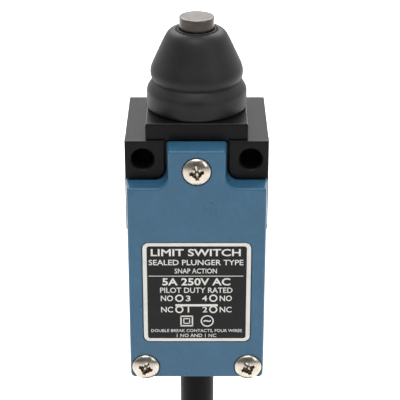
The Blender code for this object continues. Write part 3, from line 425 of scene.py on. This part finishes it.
def pick(thing, kind, test, along=None):
    """Goes into edit mode with the parts selected whose points all pass the test, in millimetres.
    With along, only the edges that run mostly along that axis, 0 to 2."""
    only(thing)
    bpy.ops.object.mode_set(mode="EDIT")
    bpy.ops.mesh.select_mode(type=kind)
    bpy.ops.mesh.select_all(action="DESELECT")
    bpy.ops.object.mode_set(mode="OBJECT")
    mesh = thing.data
    if kind == "VERT":
        for point in mesh.vertices:
            point.select = test(point.co / MM)
    else:
        for part in mesh.edges if kind == "EDGE" else mesh.polygons:
            ends = [mesh.vertices[i].co / MM for i in part.vertices]
            runs = along is None or abs(ends[0][along] - ends[1][along]) > 0.1
            part.select = runs and all(map(test, ends))
    bpy.ops.object.mode_set(mode="EDIT")


def settle(thing):
    """Leaves edit mode with the object's place in its mesh."""
    bpy.ops.object.mode_set(mode="OBJECT")
    only(thing)
    bpy.ops.object.transform_apply(location=True, rotation=True, scale=True)
    return thing


def round_edges(thing, test, radius, steps=3, profile=0.5, along=None):
    """Rounds the picked edges to a radius in millimetres."""
    pick(thing, "EDGE", test, along)
    bpy.ops.mesh.bevel(offset=radius * MM, segments=steps, profile=profile, affect="EDGES")
    return settle(thing)


# %% Stretching, turning and joining
def add_box(name, low, high, edge=0.0, steps=3):
    """A cube stretched between two corners, its edges rounded. Sizes in millimetres."""
    bpy.ops.object.select_all(action="DESELECT")
    bpy.ops.mesh.primitive_cube_add(size=MM, location=[(a + b) / 2 * MM for a, b in zip(low, high)])
    made = bpy.context.object
    made.name = name
    made.scale = [b - a for a, b in zip(low, high)]
    settle(made)
    return round_edges(made, lambda p: True, edge, steps) if edge else made


def turn(name, rings, centre=(0, 0, 0), sides=96, hollow=False, tip=None):
    """A circle extruded and resized ring by ring about an upright axis. Sizes in millimetres."""
    bpy.ops.object.select_all(action="DESELECT")
    radius, height = rings[0]
    x, y, z = centre
    bpy.ops.mesh.primitive_circle_add(vertices=sides, radius=radius * MM,
                                      location=(x * MM, y * MM, (z + height) * MM))
    made = bpy.context.object
    made.name = name
    bpy.ops.object.transform_apply(location=True, rotation=True, scale=True)
    bpy.ops.object.mode_set(mode="EDIT")
    bpy.ops.mesh.select_all(action="SELECT")
    if not hollow:
        bpy.ops.mesh.edge_face_add()
        bpy.ops.mesh.select_mode(type="EDGE")
        bpy.ops.mesh.select_all(action="SELECT")
    for (r0, h0), (r1, h1) in zip(rings, rings[1:]):
        bpy.ops.mesh.extrude_edges_move(TRANSFORM_OT_translate={"value": (0, 0, (h1 - h0) * MM)})
        share = r1 / r0
        bpy.ops.transform.resize(value=(share, share, 1), center_override=(x * MM, y * MM, (z + h1) * MM))
    if not hollow:
        bpy.ops.mesh.edge_face_add()
    bpy.ops.mesh.select_all(action="SELECT")
    bpy.ops.mesh.remove_doubles(threshold=0.0005 * MM)
    bpy.ops.mesh.normals_make_consistent(inside=False)
    bpy.ops.object.mode_set(mode="OBJECT")
    if tip:
        made.rotation_euler = tip
    return settle(made)


def combine(target, others, operation="DIFFERENCE"):
    """Cuts the others out of the target, or joins them to it."""
    for other in others:
        step = target.modifiers.new("step", "BOOLEAN")
        step.operation, step.solver, step.object = operation, "MANIFOLD", other
        only(target)
        bpy.ops.object.modifier_apply(modifier="step")
        bpy.data.objects.remove(other, do_unlink=True)
    target.data.materials.clear()
    return target


def polish(thing, skin, angle=32, body="case", nodes=()):
    """Smooths the shading between soft edges, gives the finish, and puts the piece on its body."""
    only(thing)
    bpy.ops.object.shade_smooth_by_angle(angle=math.radians(angle))
    even = thing.modifiers.new("even", "WEIGHTED_NORMAL")
    even.keep_sharp = True
    bpy.ops.object.modifier_apply(modifier="even")
    if skin and not thing.data.materials:
        thing.data.materials.append(skin)
    if nodes:
        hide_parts(*nodes)
    if body:
        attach(thing, body)
    low, high = (Vector(f(c[i] for c in thing.bound_box) for i in range(3)) for f in (min, max))
    size = " x ".join(f"{s / MM:.1f}" for s in high - low)
    print(thing.name, "is", size, "mm,", len(thing.data.polygons), "faces")
    return thing


# %% [markdown]
# ## The case
# The case is one moulding: a box open at the front, a slightly wider head with two raised ears for
# the mounting screws, a square block, and on it the round neck that the boot grips. It is made as
# it would be drawn, from a few boxes with their corners already rounded, joined into one
# solid. Rounding first is safer than rounding the joined shape, where short edges tear a bevel.
# The cavity, the bore and the holes are then cut with tools of the same shapes as in the frame.


# %% Case: the solid shapes
HEAD_TOP, EAR_LOW, EAR_FRONT, AXIS_Y = 3.8, -4.1, -24.1, -13.1
SEAT_Y, BLOCK_TOP, HALF_HEAD = EAR_FRONT + 1.5, 7.1, 14.0
CASE_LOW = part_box("case_body")[0].z / MM
HOLE_X, HOLE_RADIUS = 10.5, 2.15
SCREW_X, SCREW_TOP, SCREW_HOLE = 10.5, HEAD_TOP - 5.0, 1.8
RIM_STEP = 1.3
QUARTER = (math.radians(90), 0, 0)


def case_ear(side):
    """An ear beside the cover's tongue, with a round lower inner corner."""
    corner = side * 6.2
    low_x, high_x = sorted((corner, side * HALF_HEAD))
    ear = add_box("ear", (low_x, EAR_FRONT, EAR_LOW), (high_x, SEAT_Y + 1.0, HEAD_TOP))
    round_edges(ear, lambda p: abs(p.x - corner) < 0.01 and abs(p.z - EAR_LOW) < 0.01, 2.1, 8)
    return round_edges(ear, lambda p: p.y < EAR_FRONT + 0.01, 0.25, 3)


shell = add_box("case_moulding", (-13.75, SEAT_Y, CASE_LOW), (13.75, 0, 0), 0.3)
head = add_box("head", (-HALF_HEAD, SEAT_Y, EAR_LOW), (HALF_HEAD, 0, HEAD_TOP), 0.22)
pads = add_box("pads", (-14.1, SEAT_Y, -15.8), (14.1, -0.4, EAR_LOW - 0.3), 0.12, 2)
block = add_box("block", (-9.9, -23.3, HEAD_TOP - 0.1), (9.9, -2.9, BLOCK_TOP))
round_edges(block, lambda p: p.z > BLOCK_TOP - 0.01, 0.34, 3, 0.6)
neck = turn("neck", [(6.8, 3.0), (6.8, 10.2), (7.4, 10.6), (7.4, 11.4), (6.8, 12.3)], (0, AXIS_Y, 0), 64)
combine(shell, [head, pads, case_ear(-1), case_ear(1), block, neck], "UNION")
print("case joined:", len(shell.data.polygons), "faces")


# %% [markdown]
# The mounting holes have a small countersink at the front, which catches a crescent of light. A
# hole's tool is turned like any round piece, then laid on its side. Screw holes inside are plain,
# because the cover hides them.

# %% Case: cavity, bore and holes
def drill(x, z, rings, sides=64):
    """A round tool along Y, from rings of (radius, y)."""
    return turn("drill", [(r, -y) for r, y in rings], (x, z, 0), sides, tip=QUARTER)


cavity_low, cavity_high, cavity_x, cavity_back = CASE_LOW + 5.4, HEAD_TOP - 10.6, 11.15, -3.4
tools = [
    add_box("cavity", (-cavity_x, -25, cavity_low), (cavity_x, cavity_back, cavity_high)),
    add_box("step", (-cavity_x - RIM_STEP, -25, cavity_low - RIM_STEP),
            (cavity_x + RIM_STEP, SEAT_Y + RIM_STEP, cavity_high + RIM_STEP)),
    turn("bore", [(6.2, -8), (6.2, cavity_high + RIM_STEP), (5.0, cavity_high + RIM_STEP), (5.0, 14)],
         (0, AXIS_Y, 0), 64),
    turn("entry", [(5.0, CASE_LOW - 1), (5.0, cavity_low + 1)], (0, ENTRY_Y / MM, 0), 48),
]
for side in (-1, 1):
    tools.append(drill(side * HOLE_X, 0, [(2.42, -25.0), (2.42, EAR_FRONT - 0.02),
                                          (HOLE_RADIUS, EAR_FRONT + 0.32), (HOLE_RADIUS, -0.4), (2.45, 0.1)]))
    tools.append(drill(side * SCREW_X, CASE_LOW + 2.8, [(SCREW_HOLE, -25), (SCREW_HOLE, -19.2)], 24))
    tools.append(drill(side * 8.65, CASE_LOW + 12.0, [(1.55, -21), (1.55, -1.0)], 24))
tools.append(drill(0, SCREW_TOP, [(SCREW_HOLE, -25), (SCREW_HOLE, -19.2)], 24))
combine(shell, tools)
shell.data.materials.append(case_nylon)
# Painted shade: the walls of the mounting holes take the near-black bore nylon.
shell.data.materials.append(bore_painted_shade)
for face in shell.data.polygons:
    centre = face.center / MM
    off_axis = math.hypot(abs(centre.x) - HOLE_X, centre.z)
    in_hole = off_axis < HOLE_RADIUS + 0.15 and EAR_FRONT + 0.33 < centre.y < -0.5
    face.material_index = int(in_hole)
polish(shell, None, nodes=["case_body"])

# %% [markdown]
# ## The cover
# The cover is a shallow die casting, shaped like a T so that its tongue fits between the ears. Its
# sides lean in a little towards the front, as they must to leave the die, and the rim
# is well rounded under the paint. The flat T is inset with a depth, which draws the leaning sides. Only
# then are the corners rounded, because an inset pinches the short edges of a curve.

# %% Cover: outline, draft and rim
COVER_FRONT, COVER_BACK, FILLET, LEAN = -27.4, SEAT_Y - 0.3, 2.4, 0.35
COVER_HALF, COVER_LOW = 13.9, CASE_LOW - 0.3
BLANK_FRONT = COVER_BACK - 0.2
TONGUE_X, TONGUE_TOP, SHOULDER = 5.9, HEAD_TOP - 0.4, HEAD_TOP - 8.2
cover = add_box("blue_cover", (-COVER_HALF, BLANK_FRONT, COVER_LOW), (COVER_HALF, COVER_BACK, SHOULDER))
tongue = add_box("tongue", (-TONGUE_X, BLANK_FRONT, SHOULDER - 1), (TONGUE_X, COVER_BACK, TONGUE_TOP))
combine(cover, [tongue], "UNION")
pick(cover, "FACE", lambda p: True)
bpy.ops.mesh.dissolve_limited(angle_limit=math.radians(1))
settle(cover)
pick(cover, "FACE", lambda p: p.y < COVER_BACK - 0.1)
bpy.ops.mesh.inset(thickness=LEAN * MM, depth=(BLANK_FRONT - COVER_FRONT) * MM)
settle(cover)


def near(value, goal):
    """Whether a place lies on a corner line, allowing for the lean."""
    return abs(abs(value) - abs(goal)) < LEAN + 0.05


round_edges(cover, lambda p: near(p.x, TONGUE_X) and abs(p.z - SHOULDER) < 0.4, FILLET, 10, along=1)
round_edges(cover, lambda p: near(p.x, COVER_HALF) and abs(p.z - COVER_LOW) < 0.4, 0.9, 6, along=1)
round_edges(cover, lambda p: near(p.x, COVER_HALF) and abs(p.z - SHOULDER) < 0.4, 0.5, 4, along=1)
round_edges(cover, lambda p: near(p.x, TONGUE_X) and abs(p.z - TONGUE_TOP) < 0.4, 0.6, 5, along=1)
round_edges(cover, lambda p: p.y < COVER_FRONT + 0.01, 0.42, 4)
print("cover before cutting:", len(cover.data.polygons), "faces")

# %% Cover: bed, sinks and pocket
plate_low, plate_high = (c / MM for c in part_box("nameplate"))


def round_plate(name, front, back, grow=0.0):
    """A plate the size of the nameplate, grown all round, with round corners."""
    blank = add_box(name, (plate_low.x - grow, front, plate_low.z - grow),
                    (plate_high.x + grow, back, plate_high.z + grow))
    return round_edges(blank, lambda p: True, 1.2 + grow, 8, along=1)


SCREW_LOW = CASE_LOW + 2.5
SCREWS = {"top": (0, SCREW_TOP), "left": (-SCREW_X, SCREW_LOW), "right": (SCREW_X, SCREW_LOW)}
SINK_Y = COVER_FRONT + 0.6
tools = [
    round_plate("bed", COVER_FRONT - 1, plate_high.y + 0.3, 0.22),
    add_box("pocket", (-10.5, COVER_FRONT + 2.2, CASE_LOW + 6.0), (10.5, COVER_BACK + 1, HEAD_TOP - 11.2)),
]
for x, z in SCREWS.values():
    tools.append(drill(x, z, [(3.0, -29), (3.0, COVER_FRONT - 0.02), (2.9, COVER_FRONT + 0.12),
                              (2.9, SINK_Y)]))
    tools.append(drill(x, z, [(SCREW_HOLE, -28), (SCREW_HOLE, COVER_BACK + 1)], 32))
combine(cover, tools)
polish(cover, blue_enamel, nodes=["front_cover"])

# %% [markdown]
# ## The screws
# Three pan-head screws hold the cover, their low domes standing just proud of it. The recess is a
# cross whose four slots narrow downwards, made from a plus-shaped prism whose lower end is resized.
# One screw is modelled; the others are copies with meshes of their own, and each is
# turned by its own angle, because no fitter stops three screws at the same mark.

# %% Screws
def cross_tool():
    """The driver recess: a plus sign that tapers downwards."""
    tool = add_box("cross", (-1.75, -0.42, 0.25), (1.75, 0.42, 1.9))
    other = add_box("arm", (-0.42, -1.75, 0.25), (0.42, 1.75, 1.9))
    core = turn("core", [(0.35, -0.3), (0.95, 0.5), (1.15, 1.9)], (0, 0, 0), 24)
    combine(tool, [other, core], "UNION")
    pick(tool, "VERT", lambda p: p.z < 0.3)
    bpy.ops.transform.resize(value=(0.5, 0.62, 1), center_override=(0, 0, 0))
    return settle(tool)


master = turn("screw_master", [
    (1.2, -7.0), (1.5, -6.6), (1.5, -0.1), (2.72, 0), (2.8, 0.12), (2.8, 0.50), (2.74, 0.66),
    (2.6, 0.81), (2.35, 0.98), (2.0, 1.14), (1.5, 1.30), (1.0, 1.40), (0.5, 1.45), (0.05, 1.46)], (0, 0, 0), 72)
combine(master, [cross_tool()])
master.data.materials.append(nickel_plate)
# Painted shade: faces inside the driver recess take the darker, browner nickel, with a tint of tarnish.
master.data.materials.append(recess_shade_and_tarnish)
for face in master.data.polygons:
    centre = face.center / MM
    face.material_index = int(math.hypot(centre.x, centre.y) < 1.9 and 0 < centre.z < 1.4
                              and face.normal.z < 0.8)
for number, (name, (x, z)) in enumerate(SCREWS.items()):
    screw = bpy.data.objects.new(f"screw_{name}", master.data.copy())
    bpy.context.scene.collection.objects.link(screw)
    only(screw)
    screw.rotation_euler = (0, 0, math.radians((8, -16, 22)[number]))
    bpy.ops.object.transform_apply(location=False, rotation=True, scale=False)
    screw.rotation_euler = QUARTER
    screw.location = (x * MM, (SINK_Y - 0.02) * MM, z * MM)
    settle(screw)
    polish(screw, None, 40, nodes=[f"cover_screw_{name}"])
bpy.data.objects.remove(master, do_unlink=True)

# %% [markdown]
# ## The nameplate
# A thin aluminium plate lies in a shallow bed. Black lacquer fills its field inside a bare, bright
# border, and the lettering is bare metal too. The border is made by insetting the front face and
# giving the inner face its own lacquer. The lettering here is generic: what the thing is, its contact
# diagram and a rating. It starts as text, becomes a mesh, and is sized line by line.

# %% Plate and border
plate_silver = surface("bare_plate_border", ["#CFCDC6", "#DEDCD6", "#E6E4DF"], (0.30, 0.42), patch=3.0, grain=0.15,
                       relief=0.001, stretch=(0.08, 1, 1), IOR=1.5)
plate_lacquer = surface("black_plate_lacquer", ["#1C1C1C", "#202020", "#242424"], (0.34, 0.46), patch=3.0,
                        grain=0.12, relief=0.0015, IOR=1.5, Specular_IOR_Level=0.15)
plate = round_plate("switch_nameplate", plate_low.y, plate_high.y)
round_edges(plate, lambda p: p.y < plate_low.y + 0.01, 0.06, 2)
plate.data.materials.append(plate_silver)
plate.data.materials.append(plate_lacquer)
pick(plate, "FACE", lambda p: p.y < plate_low.y + 0.005)
bpy.ops.mesh.inset(thickness=0.60 * MM, depth=0)
bpy.ops.transform.resize(value=(19.9 / 20.18, 1, 1), center_override=(-0.6 * MM, 0, 0))
bpy.ops.mesh.inset(thickness=0.03 * MM, depth=-0.03 * MM)
plate.active_material_index = 1
bpy.ops.object.material_slot_assign()
settle(plate)
polish(plate, None, 30, nodes=["nameplate"])

# %% Lettering
INK_Y = plate_low.y + 0.02


def letter(text, middle, base, width, height, weight=0.0):
    """A word in mm from the plate's middle and lower edge, as tall and wide as it is told."""
    bpy.ops.object.select_all(action="DESELECT")
    bpy.ops.object.text_add()
    word = bpy.context.object
    word.data.body = text
    word.data.resolution_u = 3
    word.data.extrude = 0.01
    word.data.offset = weight
    bpy.ops.object.convert(target="MESH")
    word = bpy.context.object
    xs = [p.co.x for p in word.data.vertices]
    ys = [p.co.y for p in word.data.vertices]
    wide, tall = max(xs) - min(xs), max(ys) - min(ys)
    word.data.transform(Matrix.Translation((-(max(xs) + min(xs)) / 2, -min(ys), 0)))
    word.scale = (width * MM / wide, height * MM / tall, 1.5 * MM)
    word.rotation_euler = QUARTER
    word.location = (middle * MM, INK_Y * MM, (plate_low.z + base) * MM)
    return settle(word)


def ring_mark(middle, centre, outer, inner):
    """A flat printed ring."""
    ring = turn("ring", [(outer, -0.015), (outer, 0.015), (inner, 0.015), (inner, -0.015), (outer, -0.015)],
                (middle, 0, 0), 40, hollow=True, tip=None)
    ring.rotation_euler = QUARTER
    ring.location = (0, INK_Y * MM, (plate_low.z + centre) * MM)
    return settle(ring)


def bar_mark(low_x, high_x, low_z, high_z):
    """A flat printed bar."""
    base = plate_low.z
    return add_box("bar", (low_x, INK_Y - 0.015, base + low_z), (high_x, INK_Y + 0.015, base + high_z))


print_marks = [
    letter("LIMIT SWITCH", -0.2, 19.52, 17.8, 1.6, 0.02),
    letter("SEALED PLUNGER TYPE", -0.15, 17.5, 18.8, 1.22, 0.01),
    letter("SNAP ACTION", -0.2, 15.66, 8.4, 1.1, 0.008),
    bar_mark(-9.6, 9.25, 14.98, 15.12),
    letter("5A 250V AC", -0.1, 12.93, 13.6, 1.66, 0.02),
    letter("PILOT DUTY RATED", -0.1, 11.23, 14.5, 1.22, 0.008),
    bar_mark(-4.3, 4.2, 8.14, 8.64),
]
for text, middle, base, width in [("NO", -6.0, 9.35, 2.46), ("3", -1.75, 9.35, 0.95), ("4", 1.57, 9.35, 1.05),
                                  ("NO", 5.82, 9.35, 2.46), ("NC", -6.0, 6.76, 2.4), ("1", -1.7, 6.76, 0.3),
                                  ("2", 1.63, 6.76, 0.97), ("NC", 5.8, 6.76, 2.4)]:
    print_marks.append(letter(text, middle, base, width, 1.28, 0.012))
for middle, centre in [(-3.52, 10.02), (3.31, 10.02), (-3.52, 7.42), (3.31, 7.42)]:
    print_marks.append(ring_mark(middle, centre, 0.83, 0.55))
print_marks += [
    bar_mark(-3.35, -0.75, 3.5, 3.78), bar_mark(-3.35, -0.75, 5.72, 6.0),
    bar_mark(-3.35, -3.07, 3.6, 5.9), bar_mark(-1.03, -0.75, 3.6, 5.9),
    bar_mark(-2.75, -1.35, 4.08, 4.3), bar_mark(-2.75, -1.35, 5.2, 5.42),
    bar_mark(-2.75, -2.53, 4.1, 5.4), bar_mark(-1.57, -1.35, 4.1, 5.4),
    ring_mark(2.1, 4.75, 1.33, 1.08), letter("~", 2.1, 4.5, 1.5, 0.5, 0.03),
    letter("DOUBLE BREAK CONTACTS, FOUR WIRES", -0.06, 2.06, 18.4, 0.78, 0.004),
    letter("1 NO AND 1 NC", -0.06, 1.0, 8.0, 0.74, 0.004),
]
only(print_marks[0])
for mark in print_marks[1:]:
    mark.select_set(True)
bpy.ops.object.join()
lettering = bpy.context.object
lettering.name = "nameplate_lettering"
lettering.data.materials.clear()
lettering.data.materials.append(plate_silver)
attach(lettering, "case")
print("lettering:", len(lettering.data.polygons), "faces")

# %% [markdown]
# ## The boot
# The boot is one moulding of nitrile rubber that keeps dirt off the plunger. A cuff with a rounded
# shoulder grips the neck of the case, a waist above it lets the rubber fold, and a cone closes on
# the plunger with a small lip. Only its profile changes, so a ring is drawn round it on the
# lathe, down the outside and back up the inside, and a subdivision surface then makes every
# bend soft, as rubber is. Where two rings stand close together, the surface stays crisp.

# %% Boot
boot = turn("rubber_boot", [
    (9.30, 7.12), (9.72, 7.18), (9.90, 7.40), (9.92, 7.9), (9.92, 9.0), (9.92, 10.2), (9.91, 10.75),
    (9.78, 11.15), (9.42, 11.75), (8.98, 12.40), (8.72, 12.66), (8.60, 12.74), (8.60, 12.84),
    (8.90, 13.1), (9.14, 13.8), (9.22, 14.6), (9.02, 15.4), (8.72, 16.15), (8.28, 17.1), (7.30, 19.25),
    (6.42, 21.15), (5.95, 22.0), (5.42, 22.62), (4.78, 22.94), (4.34, 22.98), (4.14, 22.86),
    (4.04, 22.62), (3.94, 22.62), (3.88, 22.84), (3.76, 23.02), (3.60, 23.04), (3.52, 22.9),
    (3.55, 22.3), (3.75, 21.9), (4.85, 21.6), (5.05, 21.3), (5.05, 20.8), (6.10, 18.5), (7.22, 16.3),
    (7.60, 14.6), (7.70, 12.8), (7.70, 11.2), (7.66, 10.0), (7.25, 9.75), (7.12, 9.3), (7.12, 7.4),
    (7.40, 7.12), (9.30, 7.12)], (0, AXIS_Y, 0), 64, hollow=True)
only(boot)
soft = boot.modifiers.new("soft", "SUBSURF")
soft.levels = soft.render_levels = 1
bpy.ops.object.modifier_apply(modifier="soft")
polish(boot, boot_rubber, 60, body=None, nodes=["plunger_boot"])
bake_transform(boot)

# %% [markdown]
# ## The plunger
# The plunger is turned from steel bar, with a collar that the rubber sits on, a groove
# for the ring that keeps it in, and a blind bore for the inner spring. Its end is faced flat last,
# with fine rings where the tool crept to the middle. The end and its rounded rim get a paler copy
# of the steel: painted light, for the brighter light that the top catches from above.

# %% Plunger
plunger_low, plunger_high = (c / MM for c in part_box("plunger"))
PLUNGER_TOP = plunger_high.z
edge = [(3.17 + 0.26 * math.cos(math.pi * step / 12), PLUNGER_TOP - 0.16 + 0.26 * math.sin(math.pi * step / 12))
        for step in range(7)]
creep = [(3.0 - 0.2 * step, PLUNGER_TOP + 0.1 - 0.008 * (step % 2)) for step in range(15)]
plunger = turn("steel_plunger", [
    (3.1, plunger_low.z), (3.4, plunger_low.z + 0.3), (3.4, -7.82), (2.8, -7.8), (2.8, -7.0), (3.4, -6.98),
    (3.4, 20.2), (4.5, 20.2), (4.7, 20.4), (4.7, 21.0), (4.5, 21.2), (3.43, 21.2)] + edge + creep,
    (0, AXIS_Y, 0), 96)
combine(plunger, [turn("bore", [(2.1, plunger_low.z - 1), (2.1, 6.0), (0.1, 6.3)], (0, AXIS_Y, 0), 48)])
plunger.data.materials.append(plunger_steel)
plunger.data.materials.append(steel_top_painted_light)
# Painted light: the top face and the rim take the paler copy of the steel.
for face in plunger.data.polygons:
    face.material_index = int(face.center.z > (PLUNGER_TOP - 0.15) * MM)
polish(plunger, None, 30, body="plunger", nodes=["plunger"])

# %% [markdown]
# ## The gland and the tie
# The gland is a rubber ring pressed into the case floor, with a flange outside and a short taper
# where the cable leaves, so that the first bend isn't sharp. The tie is the flat nylon strap that
# came round the folded cable: a band with a ratchet head on it and a clipped tail beside the head.

# %% Gland
gland = turn("gland_sleeve", [
    (4.45, -42.2), (4.68, -42.4), (4.68, -47.88), (5.2, -47.9), (5.4, -48.1), (5.4, -49.55), (5.2, -49.8),
    (4.95, -50.1), (4.75, -50.7), (4.45, -51.3), (4.15, -51.7), (3.9, -51.8), (3.72, -51.6), (3.72, -42.4),
    (3.9, -42.2), (4.45, -42.2)], (0, ENTRY_Y / MM, 0), 72, hollow=True)
polish(gland, gland_rubber, 40, nodes=["cable_gland"])

# %% Tie
tie_low, tie_high = (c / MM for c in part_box("cable_tie"))
middle = (tie_low.z + tie_high.z) / 2
tie_front = REAR_Y / MM - 3 * LAYER / MM - RADIUS / MM - 0.1
tie = add_box("hank_tie", (tie_low.x, tie_front - 1.2, middle - 1.8), (tie_high.x, tie_high.y, middle + 1.8))
round_edges(tie, lambda p: True, 2.4, 8, along=2)
opening = add_box("opening", (tie_low.x + 1.2, tie_front, middle - 3),
                  (tie_high.x - 1.2, tie_high.y - 1.2, middle + 3))
round_edges(opening, lambda p: True, 1.3, 6, along=2)
combine(tie, [opening])
head = add_box("head", (-2.6, tie_low.y, tie_low.z), (2.6, tie_front - 0.6, tie_high.z), 0.5, 3)
slit = add_box("slit", (-3.0, tie_front - 2.5, middle - 1.9), (3.0, tie_front - 1.3, middle + 1.9))
combine(head, [slit])
stub = add_box("stub", (-4.4, tie_front - 2.35, middle - 1.7), (4.2, tie_front - 1.45, middle + 1.7), 0.15, 2)
combine(tie, [head, stub], "UNION")
polish(tie, natural_nylon, 30, nodes=["cable_tie"])

# %% [markdown]
# ## The bare ends
# Four cores fan out where the sheath is cut back, and a crimped sleeve ends each one. Their solids in
# the frame have the right shape but flat facets, so each piece here is a copy of its solid, merged
# into one surface and smoothed.

# %% Cores and sleeves
SLOT_OF_CORE = ["core_black", "core_white", "core_red", "core_green"]


def smooth_copy(node, skin, body="case"):
    """A merged, rounded copy of a CAD solid that replaces it."""
    made = bpy.data.objects.new(f"smooth_{node}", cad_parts[node].data.copy())
    bpy.context.scene.collection.objects.link(made)
    made.data.materials.clear()
    pick(made, "VERT", lambda p: True)
    bpy.ops.mesh.remove_doubles(threshold=0.0005 * MM)
    bpy.ops.mesh.dissolve_limited(angle_limit=math.radians(1))
    settle(made)
    return polish(made, skin, 50, body, [node])


for number, core in enumerate(SLOT_OF_CORE, 1):
    smooth_copy(f"end_core_{number}", core_vinyl[core])
    smooth_copy(f"ferrule_{number}", nickel_plate)

# %% [markdown]
# ## The springs
# Three coil springs shorten as the plunger goes in. A rigid spring would run into its neighbours.
# Here each one is a smoothed copy of its solid with a mesh of its own, and it does not flatten
# as the joint moves.

# %% Springs
PRESS, FOLLOW = 5.5, 1.2
SPRINGS = [("return_spring", "plunger_travel", PRESS, 0, "case"),
           ("pusher_spring", "pusher_travel", FOLLOW, 0, "case"),
           ("overtravel_spring", "plunger_travel", PRESS - FOLLOW, 1, "plunger")]
for node, joint, shrink, fixed_end, body in SPRINGS:
    spring = smooth_copy(node, spring_wire, body)
    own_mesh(spring)

# %% [markdown]
# ## The works inside
# Behind the cover, the frame's own solids are already right, and they keep their shapes. Each gets
# the finish of what it is made of: brass for the terminals, silver for the contacts, phenolic for the
# switch base, spring wire, and nylon for the parts that slide.

# %% Finishes for the parts inside
WORKS = {
    gasket_rubber: ["cover_gasket", "plunger_seal"],
    natural_nylon: ["pusher", "contact_frame"],
    brown_phenolic: ["switch_base", "switch_plate"],
    strip_brass: ["guide_bush", "crimp_ring"] + [f"terminal_{n}" for n in range(1, 5)],
    spring_wire: ["retaining_ring", "snap_spring_left", "snap_spring_right"],
    contact_silver: ["moving_contact_left", "moving_contact_right"]
    + [f"fixed_contact_{n}" for n in range(1, 5)],
    nickel_plate: ["switch_screw_left", "switch_screw_right"] + [f"terminal_screw_{n}" for n in range(1, 5)],
}
for number, core in enumerate(SLOT_OF_CORE, 1):
    WORKS[core_vinyl[core]] = [f"core_{number}"]
for skin, names in WORKS.items():
    for name in names:
        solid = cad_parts[name].data
        solid.materials.clear()
        solid.materials.append(skin)
print("finished inside:", sum(len(names) for names in WORKS.values()), "solids")
